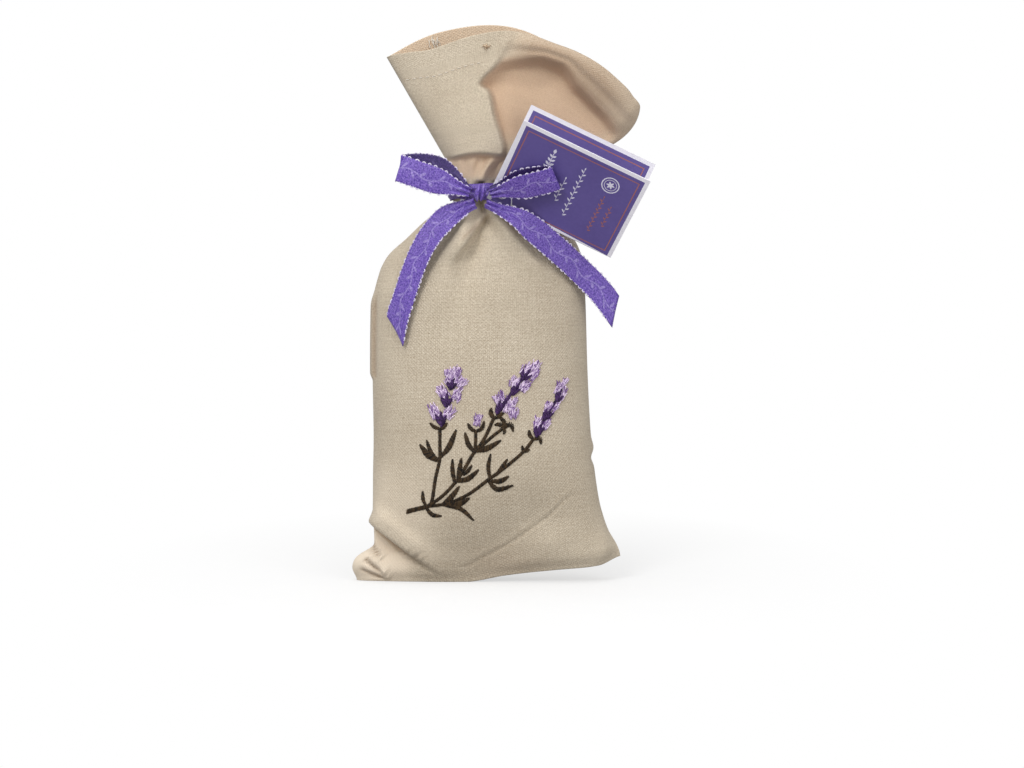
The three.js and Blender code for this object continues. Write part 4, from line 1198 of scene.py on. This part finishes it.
# Outline of a printed leaf: share of its length, share of its half width
LEAF_OUTLINE = [(0.0, 0.0), (0.35, 0.85), (0.65, 0.8), (1.0, 0.0), (0.65, -0.8), (0.35, -0.85)]
# Plain ornaments: kind, place along the fold, place up the leaf, length or radius, size, ink
COVER_MARKS = [
    ("spray", 15.4, 13.0, 18.5, 2.0, WHITE),
    ("vine", 23.4, 12.5, 11.0, 1.5, WHITE),
    ("vine", 28.4, 8.0, 23.0, 1.5, WHITE),
    ("seal", 39.4, 29.6, 3.5, 0.0, WHITE),
    ("vine", 39.4, 6.5, 17.0, 1.2, ORANGE),
    ("vine", 43.4, 11.0, 9.5, 1.2, ORANGE),
]
INSIDE_MARKS = [("vine", 16.0 + 6.0 * i, 8.0, 21.0 - 3.0 * (i % 2), 1.3, WHITE) for i in range(5)]
BACK_MARKS = [("spray", 26.0, 9.0, 18.0, 2.0, WHITE)]


def arc(x, z, radius, start, end, count):
    """Points on a circle, from one angle in degrees to another."""
    turns = np.linspace(math.radians(start), math.radians(end), count)
    return [(x + radius * math.cos(a), z + radius * math.sin(a)) for a in turns]


class Print:
    """Ink on one face of a leaf: x runs along the fold, z up the leaf, and layers lie on each other."""

    def __init__(self, front, face):
        self.origin, self.along, self.up = leaf_frame(front)
        self.low = FOLD_GAP if front else -LABEL_INSET
        self.out = self.along.cross(self.up) * face
        self.face = face
        self.points, self.faces, self.inks = [], [], []

    def at(self, x, z, layer):
        flat = self.origin + self.along * (x - LABEL_INSET) + self.up * (z + self.low)
        return flat + self.out * (LABEL_THICKNESS / 2 + INK * layer)

    def fill(self, outline, ink, layer):
        first = len(self.points)
        self.points.extend(self.at(x, z, layer) for x, z in outline)
        corner = list(range(first, len(self.points)))
        self.faces.append(corner if self.face > 0 else corner[::-1])
        self.inks.append(ink)

    def bar(self, x0, z0, x1, z1, ink):
        self.fill([(x0, z0), (x1, z0), (x1, z1), (x0, z1)], ink, 2)

    def field(self, front):
        """The violet field inside the white border, cut out at the notch or the hole."""
        right, top = LABEL_LENGTH - BORDER, LABEL_WIDTH - BORDER
        if front:
            notch = arc(0, 0, LABEL_NOTCH + 0.4, 77, 13, 14)
            notch = [(max(x, BORDER), max(z, FIELD_FOOT)) for x, z in notch]
            self.fill([(right, FIELD_FOOT), (right, top), (BORDER, top)] + notch, VIOLET, 1)
        else:
            hole = arc(LABEL_INSET, LABEL_INSET, LABEL_HOLE + 0.3, 225, 225 - 360, 25)
            edge = [(BORDER, FIELD_FOOT), (right, FIELD_FOOT), (right, top), (BORDER, top), (BORDER, BORDER)]
            self.fill(edge + hole, VIOLET, 1)

    def frame_lines(self):
        near, far, high = FRAME_INSET, LABEL_LENGTH - FRAME_INSET, LABEL_WIDTH - FRAME_INSET
        start = LABEL_NOTCH + 1.5
        self.bar(near, high - FRAME_LINE, far, high, ORANGE)
        self.bar(far - FRAME_LINE, BORDER, far, high - FRAME_LINE, ORANGE)
        self.bar(near, start, near + FRAME_LINE, high - FRAME_LINE, ORANGE)
        self.bar(start, BORDER, far - FRAME_LINE, BORDER + FRAME_LINE, ORANGE)

    def leaf(self, x, z, dx, dz, half, ink):
        size = math.hypot(dx, dz)
        side_x, side_z = -dz / size * half, dx / size * half
        self.fill([(x + dx * a + side_x * b, z + dz * a + side_z * b) for a, b in LEAF_OUTLINE], ink, 3)

    def vine(self, x, z, length, size, ink):
        self.bar(x - 0.08, z, x + 0.08, z + length, ink)
        step = 0.95 * size
        for i in range(int(length / step)):
            hand = -1.0 if i % 2 else 1.0
            self.leaf(x, z + step * i, hand * 0.85 * size, 0.8 * size, 0.22 * size, ink)
        self.leaf(x, z + length - 0.2, 0.0, 0.8 * size, 0.2 * size, ink)

    def spray(self, x, z, length, size, ink):
        self.bar(x - 0.13, z, x + 0.13, z + length, ink)
        self.leaf(x, z + 0.12 * length, -1.9 * size, 2.0 * size, 0.4 * size, ink)
        self.leaf(x, z + 0.22 * length, 1.9 * size, 2.0 * size, 0.4 * size, ink)
        for i in range(5):
            foot = z + length * (0.48 + 0.105 * i)
            near = size * (1.05 - 0.1 * i)
            for hand in (-1.0, 1.0):
                self.leaf(x, foot, hand * near, 0.9 * near, 0.36 * near, ink)
        self.leaf(x, z + length, 0.0, 1.1 * size, 0.36 * size, ink)

    def seal(self, x, z, radius, _, ink):
        for outer, inner in ((radius, 0.88 * radius), (0.7 * radius, 0.64 * radius)):
            around = list(zip(arc(x, z, outer, 0, 360, 33), arc(x, z, inner, 0, 360, 33)))
            for (a, b), (c, d) in zip(around[:-1], around[1:]):
                self.fill([b, a, c, d], ink, 2)
        petal = 0.5 * radius
        for turn in np.linspace(0.0, 2 * math.pi, 6, endpoint=False):
            self.leaf(x, z, petal * math.cos(turn), petal * math.sin(turn), 0.12 * radius, ink)


def add_print(name, front, face, body, marks):
    """A violet field inside a white border, a thin frame line and small ornaments, on one face of a leaf."""
    ink = Print(front, face)
    ink.field(front)
    ink.frame_lines()
    ornaments = {"vine": ink.vine, "spray": ink.spray, "seal": ink.seal}
    for kind, *layout in marks:
        ornaments[kind](*layout)
    obj = new_object(name, [tuple(p) for p in ink.points], ink.faces, smooth_faces=False)
    for material in INKS:
        obj.data.materials.append(material)
    obj.data.polygons.foreach_set("material_index", ink.inks)
    attach(obj, body)


for node in ("label_back_leaf", "label_front_leaf"):
    slots = frame["nodes"][node].data.materials
    slots.clear()
    slots.append(CARD)
add_print("label_cover_print", True, 1.0, "label_front", COVER_MARKS)
add_print("label_cover_inside_print", True, -1.0, "label_front", INSIDE_MARKS)
add_print("label_inside_print", False, 1.0, "label", INSIDE_MARKS)
add_print("label_back_print", False, -1.0, "label", BACK_MARKS)

# Embroidery

# Place where the stems meet, and the stitches: pitch, thread, and how far they stand proud
SPRIG = (-23.0, 30.6)
STITCH_PITCH = 0.36
STITCH_THREAD = 0.2
SATIN_THREAD = 0.21
STITCH_CLEAR = 0.08
STEM_LOFT = 0.25
LEAF_LOFT = 0.22
CALYX_LINE_LOFT = 0.6
CALYX_LOFT = 0.65
CALYX_PITCH = 0.3
CALYX_SLANT = 0.8
# How slim stems and leaves are, and the florets' stitches: how many, how slim and how far they fan out
STEM_SLIM = 0.84
FLORET_FILL = 4
FLORET_SLIM = 0.8
FLORET_FAN = 0.45
# Stems: points from the place where they meet, and the width of the stitching
STEMS = [
    ([(-7.6, -2.2), (-3.6, -1.0), (0.2, 0.0)], 2.1),
    ([(0.2, 0.0), (2.0, 2.5), (3.3, 10.7), (5.0, 18.4), (5.1, 24.5), (5.1, 30.2)], 1.4),
    ([(0.2, 0.0), (6.0, 4.3), (11.0, 9.8), (14.4, 15.0), (17.4, 20.2), (21.9, 26.5), (25.5, 34.3)], 1.4),
    ([(0.2, 0.0), (8.3, 1.6), (16.0, 5.2), (23.3, 10.7), (30.1, 15.7), (36.9, 21.6), (40.5, 26.1)], 1.4),
    ([(18.2, 21.4), (18.6, 25.0), (18.7, 29.5)], 1.3),
    ([(20.2, 23.0), (24.6, 27.0), (29.2, 30.6)], 1.3),
]
# Leaves: points from the stem to the tip, and the greatest width
LEAVES = [
    ([(5.0, 17.8), (1.0, 19.8), (-2.4, 23.8)], 3.0),
    ([(2.9, 19.7), (1.2, 22.2), (0.1, 25.6)], 1.4),
    ([(5.4, 19.4), (8.6, 23.4), (11.3, 29.7)], 2.2),
    ([(5.1, 30.0), (3.0, 30.8), (1.5, 32.2)], 1.4),
    ([(5.1, 30.0), (6.6, 30.8), (7.9, 32.2)], 1.4),
    ([(18.7, 29.3), (17.0, 30.2), (15.8, 32.2)], 1.5),
    ([(18.7, 29.3), (21.0, 30.4), (21.9, 33.0)], 1.5),
    ([(17.8, 21.6), (15.8, 24.6), (14.7, 28.7)], 2.0),
    ([(18.8, 21.8), (23.4, 23.0), (28.1, 25.7)], 2.4),
    ([(10.6, 9.6), (9.9, 14.0), (9.9, 18.5)], 1.6),
    ([(11.8, 11.0), (12.6, 15.0), (13.3, 18.9)], 1.9),
    ([(14.0, 12.6), (15.8, 14.2), (17.2, 16.2)], 1.3),
    ([(11.4, 10.2), (15.8, 11.2), (19.7, 14.4)], 2.3),
    ([(24.0, 11.2), (23.4, 15.6), (24.3, 20.5)], 1.5),
    ([(26.4, 12.6), (28.6, 15.4), (30.6, 18.5)], 1.7),
    ([(24.6, 10.4), (28.0, 10.2), (31.1, 11.9)], 2.0),
    ([(23.7, 10.0), (27.0, 7.0), (32.7, 8.3)], 2.1),
    ([(-0.4, 0.4), (-1.4, 2.6), (-1.5, 5.8)], 1.4),
    ([(-0.2, -0.6), (2.2, -3.2), (5.5, -3.6)], 1.7),
    ([(6.0, 0.9), (12.8, -0.6), (17.7, -5.1)], 1.7),
    ([(6.0, 1.1), (9.4, 4.0), (12.4, 8.0)], 2.2),
    ([(7.6, 1.0), (12.0, 1.2), (16.2, 3.5)], 2.9),
    ([(36.8, 21.4), (36.4, 22.4), (36.4, 23.6)], 1.2),
    ([(36.9, 21.6), (37.9, 21.6), (39.0, 22.1)], 1.1),
    ([(40.3, 26.2), (39.2, 27.4), (38.9, 29.4)], 1.6),
    ([(40.5, 26.1), (42.8, 26.2), (43.3, 24.2)], 1.6),
    ([(25.4, 34.2), (24.5, 35.8), (24.6, 38.0)], 1.9),
    ([(25.5, 34.3), (27.2, 34.9), (29.3, 36.2)], 1.6),
    ([(29.2, 30.8), (27.6, 31.9), (25.9, 31.9)], 1.7),
    ([(29.4, 30.8), (29.4, 32.8), (27.8, 34.8)], 1.7),
    ([(29.4, 30.8), (31.8, 31.8), (32.8, 29.2)], 1.8),
    ([(29.2, 30.6), (29.6, 29.6), (29.2, 28.3)], 1.4),
]
# Calyces: foot, and the tips of the prongs that stand on it
CALYCES = {
    "left": [
        ((5.6, 31.4), [(3.6, 35.6), (5.6, 36.6), (7.5, 34.9)]),
        ((7.2, 38.7), [(5.9, 42.5), (8.1, 43.9), (9.8, 41.6)]),
        ((8.8, 45.6), [(8.4, 48.0), (10.6, 49.2), (11.7, 47.4)]),
    ],
    "middle": [
        ((26.4, 36.3), [(28.0, 41.0), (31.9, 43.1), (30.0, 40.0)]),
        ((32.2, 43.5), [(33.2, 46.4), (35.2, 47.4), (35.3, 45.0)]),
        ((36.2, 49.0), [(36.7, 52.6), (39.3, 52.5), (39.7, 50.2)]),
    ],
    "right": [
        ((41.3, 27.2), [(41.5, 31.0), (43.3, 31.6), (44.5, 30.2)]),
        ((44.4, 33.4), [(45.3, 37.2), (47.0, 37.0), (48.0, 35.7)]),
        ((49.2, 40.4), [(49.8, 43.4), (51.0, 44.8), (51.6, 42.0)]),
    ],
}
# Dark thread between one calyx and the next
CALYX_LINES = {
    "left": [],
    "middle": [[(30.8, 42.0), (36.6, 49.6)]],
    "right": [[(42.8, 30.4), (49.6, 41.4)]],
}
# Florets: middle, reach along and across the spike, lean of the spike from upright in degrees, stitches
FLORETS = {
    "left": [
        ((3.0, 37.0), 4.2, 2.2, 20, 20),
        ((8.6, 36.4), 3.6, 2.2, -30, 16),
        ((6.2, 44.0), 3.6, 2.4, 35, 18),
        ((11.4, 43.0), 3.6, 1.9, -20, 14),
        ((9.4, 50.2), 4.2, 3.2, 10, 26),
        ((13.2, 47.6), 2.6, 1.9, -40, 12),
        ((11.8, 51.4), 2.8, 1.8, -15, 12),
    ],
    "middle": [
        ((27.6, 41.4), 3.2, 2.4, 25, 18),
        ((31.8, 39.4), 4.6, 2.3, -20, 26),
        ((33.2, 35.6), 2.4, 1.7, 0, 12),
        ((33.4, 48.0), 3.0, 2.0, -25, 16),
        ((37.2, 46.4), 3.0, 1.9, -35, 14),
        ((37.8, 52.6), 3.4, 2.2, -40, 18),
        ((40.6, 51.0), 3.4, 1.9, -35, 18),
        ((41.0, 53.8), 2.2, 1.7, -30, 10),
    ],
    "right": [
        ((42.0, 32.2), 3.0, 1.3, -15, 12),
        ((45.2, 31.6), 3.0, 1.3, -30, 12),
        ((45.8, 38.0), 3.0, 1.2, -25, 12),
        ((48.4, 38.0), 3.6, 1.3, -32, 14),
        ((49.8, 45.0), 2.8, 1.2, -25, 12),
        ((51.4, 43.0), 3.4, 1.3, -28, 14),
        ((52.0, 46.6), 2.6, 1.0, -25, 10),
    ],
    "bud": [((19.4, 33.4), 2.8, 1.6, -15, 16)],
}
# Distance from the seam plane at which a ray onto the cloth starts, and, where it misses, that of the place
# whose nearest cloth is taken
RAY_START = 90.0
MISSED_START = 20.0


def surface_finder(obj, side=-1.0):
    """Finds the face of the cloth that looks to the front at a place, or to the back for side 1."""
    shape = obj.evaluated_get(bpy.context.evaluated_depsgraph_get())
    mesh = shape.to_mesh()
    tree = BVHTree.FromPolygons([v.co for v in mesh.vertices], [p.vertices for p in mesh.polygons])
    shape.to_mesh_clear()

    def find(x, z):
        place, normal, _, _ = tree.ray_cast(Vector((x, RAY_START * side, z)) * MM, Vector((0, -side, 0)))
        if place is None:
            place, normal, _, _ = tree.find_nearest(Vector((x, MISSED_START * side, z)) * MM)
        return np.array(place) / MM, np.array(normal if normal.y * side > 0 else -normal)

    return find


on_front = surface_finder(bag_front)


def stitch(start, end, thread, loft):
    """One stitch on the front of the bag, from hole to hole, standing a little proud between them."""
    (a, up_a), (b, up_b) = on_front(*start), on_front(*end)
    up = unit(up_a + up_b)
    path = []
    for u in np.linspace(0.0, 1.0, 6):
        path.append(a + (b - a) * u + up * (loft * math.sin(math.pi * u) ** 0.6 + STITCH_CLEAR))
    return tube(path, thread, 5)


def satin(knots, width_at, loft, rng, slant=0.45, pitch=STITCH_PITCH):
    """Stitches laid side by side across a line."""
    flat = np.array(knots, float) + np.array(SPRIG)
    line = spline(flat, max(int(run_along(flat)[-1] / pitch), 3))
    parts = []
    for i, (place, way) in enumerate(zip(line, unit(np.gradient(line, axis=0)))):
        half = width_at(i / (len(line) - 1)) / 2 * rng.uniform(0.9, 1.12)
        across = np.array([-way[1], way[0]]) + slant * way
        across = across / np.linalg.norm(across)
        parts.append(stitch(place - across * half, place + across * half, SATIN_THREAD, loft))
    return parts


def leaf_shape(u):
    return math.sin(math.pi * (0.1 + 0.88 * u)) ** 0.8


def prong_width(u):
    return 0.4 + 1.9 * math.sin(math.pi * (0.16 + 0.8 * u)) ** 1.2


def stem_stitches(rng):
    """Rows of stitches along the stems and leaves."""
    parts = []
    for knots, width in STEMS:
        parts += satin(knots, lambda u: STEM_SLIM * width, STEM_LOFT, rng)
    for knots, width in LEAVES:
        parts += satin(knots, lambda u: 0.3 + STEM_SLIM * width * leaf_shape(u), LEAF_LOFT, rng)
    return parts


def floret_stitches(groups, rng):
    """Loose stitches that fan out from the spike."""
    parts = []
    for middle, tall, wide, lean, count in groups:
        tilt = math.radians(lean)
        way = np.array([-math.sin(tilt), math.cos(tilt)])
        side = np.array([math.cos(tilt), math.sin(tilt)])
        for _ in range(FLORET_FILL * count):
            aside = FLORET_SLIM * wide * rng.uniform(-1.0, 1.0)
            foot = np.array(middle) + way * tall * rng.uniform(-0.85, 0.3) + side * aside
            fan = rng.uniform(-FLORET_FAN, FLORET_FAN)
            tip = foot + (way + side * fan) * rng.uniform(1.2, 2.4)
            parts.append(stitch(foot + SPRIG, tip + SPRIG, STITCH_THREAD, rng.uniform(0.2, 0.5)))
    return parts


def calyx_stitches(lines, cups, rng):
    """The thread between the calyces, and their prongs."""
    parts = []
    for line in lines:
        parts += satin(line, lambda u: 0.9, CALYX_LINE_LOFT, rng)
    for foot, tips in cups:
        for tip in tips:
            parts += satin([foot, tip], prong_width, CALYX_LOFT, rng, CALYX_SLANT, CALYX_PITCH)
    return parts


def embroider():
    rng = random.Random(11)
    add_threads("sprig_stems", stem_stitches(rng), DARK_THREAD, node="embroidery_stems")
    for name, groups in FLORETS.items():
        name = "florets_" + name
        parts = floret_stitches(groups, rng)
        add_threads("sprig_" + name, parts, LILAC_THREAD, node="embroidery_" + name)
    for name, cups in CALYCES.items():
        parts = calyx_stitches(CALYX_LINES[name], cups, rng)
        name = "calyces_" + name
        add_threads("sprig_" + name, parts, PURPLE_THREAD, node="embroidery_" + name)


embroider()

# Seams, filling and mouth

# Overcast stitches of the seams
OVERLOCK_PITCH = 1.1
OVERLOCK_REACH = 3.0
OVERLOCK_THREAD = 0.16
# Filling: share of the bag's width, how much narrower at its top, distance from the cloth, rise of its foot,
# and least distance from the outside of the bag
FILL_ACROSS = 0.93
FILL_NARROWER = 0.07
FILL_INSET = 2.6
FILL_RISE = 1.6
FILL_CLEAR = 1.5
# Loose ends inside the back rim, and the slub on the front rim: places across and heights
LOOSE_ENDS = 12
LOOSE_TOP = (-22.4, 209.0)
LOOSE_FOOT = (-21.6, 204.6)
LOOSE_THREAD = 0.11
SLUB = (-0.4, 205.0)
SLUB_REACH = 1.3
SLUB_LOOPS = 9
SLUB_THREAD = 0.13


def overlock(name, edge, inward):
    """Overcast stitches that bind the two cut edges along a seam, inside the bag."""
    edge = spline(edge, max(int(run_along(edge)[-1] / OVERLOCK_PITCH), 8))
    parts = []
    for i in range(len(edge) - 1):
        a, b = edge[i], edge[i + 1]
        turn = inward[min(int(i / len(edge) * len(inward)), len(inward) - 1)]
        root, far = turn * 0.8, turn * OVERLOCK_REACH
        path = [a + root + [0, -0.35, 0], a + far * 0.6 + [0, -0.45, 0], b + far]
        path += [b + far * 0.6 + [0, 0.45, 0], b + root + [0, 0.35, 0]]
        parts.append(tube(path, OVERLOCK_THREAD, 4))
    add_threads(name + "_stitches", parts, SEAM_THREAD, node=name)


def seams():
    for name, column, sign in (("side_seam_left", 0, 1.0), ("side_seam_right", -1, -1.0)):
        edge = points[number[FLOOR_ROWS + 16 : -3, column]]
        along = unit(np.gradient(edge, axis=0))
        overlock(name, edge, sign * np.stack([along[:, 2], np.zeros(len(along)), -along[:, 0]], axis=-1))
    overlock("bottom_seam", points[number[0, 10:-10]] + [0, 0, 0.4], np.array([[0.0, 0.0, 1.0]]))


def filling():
    """Dried lavender: a packed mass of buds that fills the bag below the tie."""
    rng = np.random.default_rng(5)
    on_back = surface_finder(bag_back, 1.0)
    rings = []
    for row in range(FLOOR_ROWS + 3, NECK_ROW - 12, 2):
        near, far = points[number[row, 2:-2:2]], points[behind[row, 2:-2:2]]
        middle = (near[0, 0] + near[-1, 0]) / 2
        ring = np.concatenate([near, far[::-1]])
        narrower = 1.0 - FILL_NARROWER * smooth(near[0, 2], 108.0, 128.0)
        ring[:, 0] = middle + (ring[:, 0] - middle) * FILL_ACROSS * narrower
        ring[:, 1] += np.where(ring[:, 1] < 0, 1.0, -1.0) * FILL_INSET + 0.3 * rng.standard_normal(len(ring))
        ring[:, 2] += FILL_RISE * fall(ring[:, 2], 20.0, 60.0)
        for i, (x, y, z) in enumerate(ring):
            if i < len(near):
                ring[i, 1] = min(max(y, on_front(x, z)[0][1] + FILL_CLEAR), -0.1)
            else:
                ring[i, 1] = max(min(y, on_back(x, z)[0][1] - FILL_CLEAR), 0.1)
        rings.append(ring)
    mass = new_object("lavender_mass", np.concatenate(rings), ring_faces(len(rings), len(rings[0])))
    mass.data.materials.append(LAVENDER)
    attach(mass, "bag", "lavender_filling")


def loose_ends(rng):
    """Loose ends of the overcasting, inside the back rim."""
    inside = surface_finder(bag_back, -1.0)
    parts = []
    for i in range(LOOSE_ENDS):
        top = np.array(LOOSE_TOP) + [0.36 * i + rng.uniform(-0.5, 0.5), rng.uniform(-1.6, 0.5)]
        foot = np.array(LOOSE_FOOT) + [0.34 * i + rng.uniform(-0.8, 0.8), rng.uniform(-0.8, 1.8)]
        path = []
        for u in np.linspace(0.0, 1.0, 7):
            place = top + (foot - top) * u
            lift = 0.25 + 0.25 * math.sin(math.pi * u) + 0.1 * rng.random()
            path.append(inside(place[0] + 0.25 * math.sin(7 * u + i), place[1])[0] + [0, -lift, 0])
        parts.append(tube(path, LOOSE_THREAD, 5))
    add_threads("mouth_loose_ends", parts, SEAM_THREAD)


def slub(rng):
    """A knotted slub on the front rim."""
    parts = []
    for i in range(SLUB_LOOPS):
        turn = i * 2.4
        reach = SLUB_REACH * (0.5 + 0.5 * rng.random())
        path = []
        for u in np.linspace(-1.0, 1.0, 7):
            x = SLUB[0] + reach * (u * math.cos(turn) + 0.35 * math.sin(3 * u + i))
            z = SLUB[1] + reach * (u * math.sin(turn) + 0.35 * math.cos(3 * u + i))
            path.append(on_front(x, z)[0] + [0, -0.15 - 0.55 * (1 - u * u), 0])
        parts.append(tube(path, SLUB_THREAD, 5))
    add_threads("mouth_slub", parts, SLUB_YARN)


def hem():
    """Stitches that hold the turned hem of the mouth, where they show on the front flap."""
    line = points[number[-1 - HEM_ROWS, HEM_COLUMNS]][:, ::2]
    line = spline(line, 2 * int(run_along(line)[-1] / HEM_PITCH))
    parts = [stitch(start, end, HEM_THREAD, 0.1) for start, end in zip(line[::2], line[1::2])]
    add_threads("mouth_hem_stitches", parts, SEAM_THREAD)


seams()
filling()
mouth_draws = random.Random(4)
loose_ends(mouth_draws)
slub(mouth_draws)
hem()

# Floor, light and camera

# View: scale, width of the picture, the place it is aimed at, and the eye's distance and elevation
PIXELS_PER_MM = 2.622
PICTURE_WIDTH = 1024.0
VIEW_AIM = (9.4, -10.0, 76.9)
VIEW_DISTANCE = 1200.0
VIEW_ELEVATION = 5.0
FLOOR_HALF = 4000.0
SKY_LIGHT = 0.46
LAMP_AIM = (0, 0, 100)
# Lamps: name, place, size and power
LAMPS = [
    ("key", (-360, -720, 660), 400, 4.05),
    ("fill", (600, -820, 420), 700, 2.35),
    ("top", (0, -160, 900), 500, 2.2),
]


def sky():
    """White all around to the eye, and a weaker light on the part."""
    n = Nodes("studio", "worlds")
    n.tree.nodes.clear()
    rays = n.node("ShaderNodeLightPath").outputs
    seen = n.most(n.most(rays["Is Camera Ray"], rays["Is Glossy Ray"]), rays["Is Transmission Ray"])
    light = n.node("ShaderNodeBackground", {"Color": grey(1.0), "Strength": SKY_LIGHT}).outputs[0]
    shown = n.node("ShaderNodeBackground", {"Color": grey(1.0)}).outputs[0]
    either = n.node("ShaderNodeMixShader", {0: seen, 1: light, 2: shown}).outputs[0]
    n.node("ShaderNodeOutputWorld", {0: either})
    bpy.context.scene.world = n.owner


def floor_paper():
    """Pale paper that takes the part's soft shadow, and goes over to white away from it."""
    n = Nodes("floor_paper")
    seen = n.node("ShaderNodeLightPath").outputs["Is Camera Ray"]
    color = n.mix(n.noise(n.place(), 60.0, 2.0), grey(0.93), grey(0.97))
    n.finish(n.mix(seen, grey(0.42), color), 0.9)
    flat = n.node("ShaderNodeVectorMath", {0: n.place(), 1: (1.0, 0.7, 1.0)}, operation="MULTIPLY").outputs[0]
    far = n.node("ShaderNodeVectorMath", {0: flat}, operation="LENGTH").outputs["Value"]
    share = n.span(far, 0.05, 0.16, 0.6, 1.0) * seen
    glow = n.node("ShaderNodeEmission", {0: grey(1.0), 1: 1.0}).outputs[0]
    either = n.node("ShaderNodeMixShader", {0: share, 1: n.shader.outputs[0], 2: glow}).outputs[0]
    n.put(either, n.tree.nodes["Material Output"].inputs[0])
    return n.owner


def add_floor():
    half = FLOOR_HALF
    corners = [(-half, -half, 0), (half, -half, 0), (half, half, 0), (-half, half, 0)]
    floor = new_object("floor", corners, [(0, 1, 2, 3)])
    floor.data.materials.append(floor_paper())


def add_aimed(name, data, place, away):
    """A lamp or camera at a place in millimetres, looking against the direction away."""
    obj = bpy.data.objects.new(name, data)
    obj.location = Vector(place) * MM
    obj.rotation_euler = (-away).to_track_quat("-Z", "Y").to_euler()
    bpy.context.scene.collection.objects.link(obj)
    return obj


def add_lamps():
    for name, place, size, power in LAMPS:
        lamp = bpy.data.lights.new(name, "AREA")
        lamp.shape = "DISK"
        lamp.size = size * MM
        lamp.energy = power
        add_aimed(name, lamp, place, Vector(place) - Vector(LAMP_AIM))


def add_camera():
    lens = bpy.data.cameras.new("camera")
    lens.lens = lens.sensor_width * VIEW_DISTANCE * PIXELS_PER_MM / PICTURE_WIDTH
    lens.clip_end = 20.0
    rise = math.radians(VIEW_ELEVATION)
    away = Vector((0.0, -math.cos(rise), math.sin(rise))) * VIEW_DISTANCE
    bpy.context.scene.camera = add_aimed("camera", lens, Vector(VIEW_AIM) + away, away)


bpy.context.scene.view_settings.view_transform = "Standard"
sky()
add_floor()
add_lamps()
add_camera()
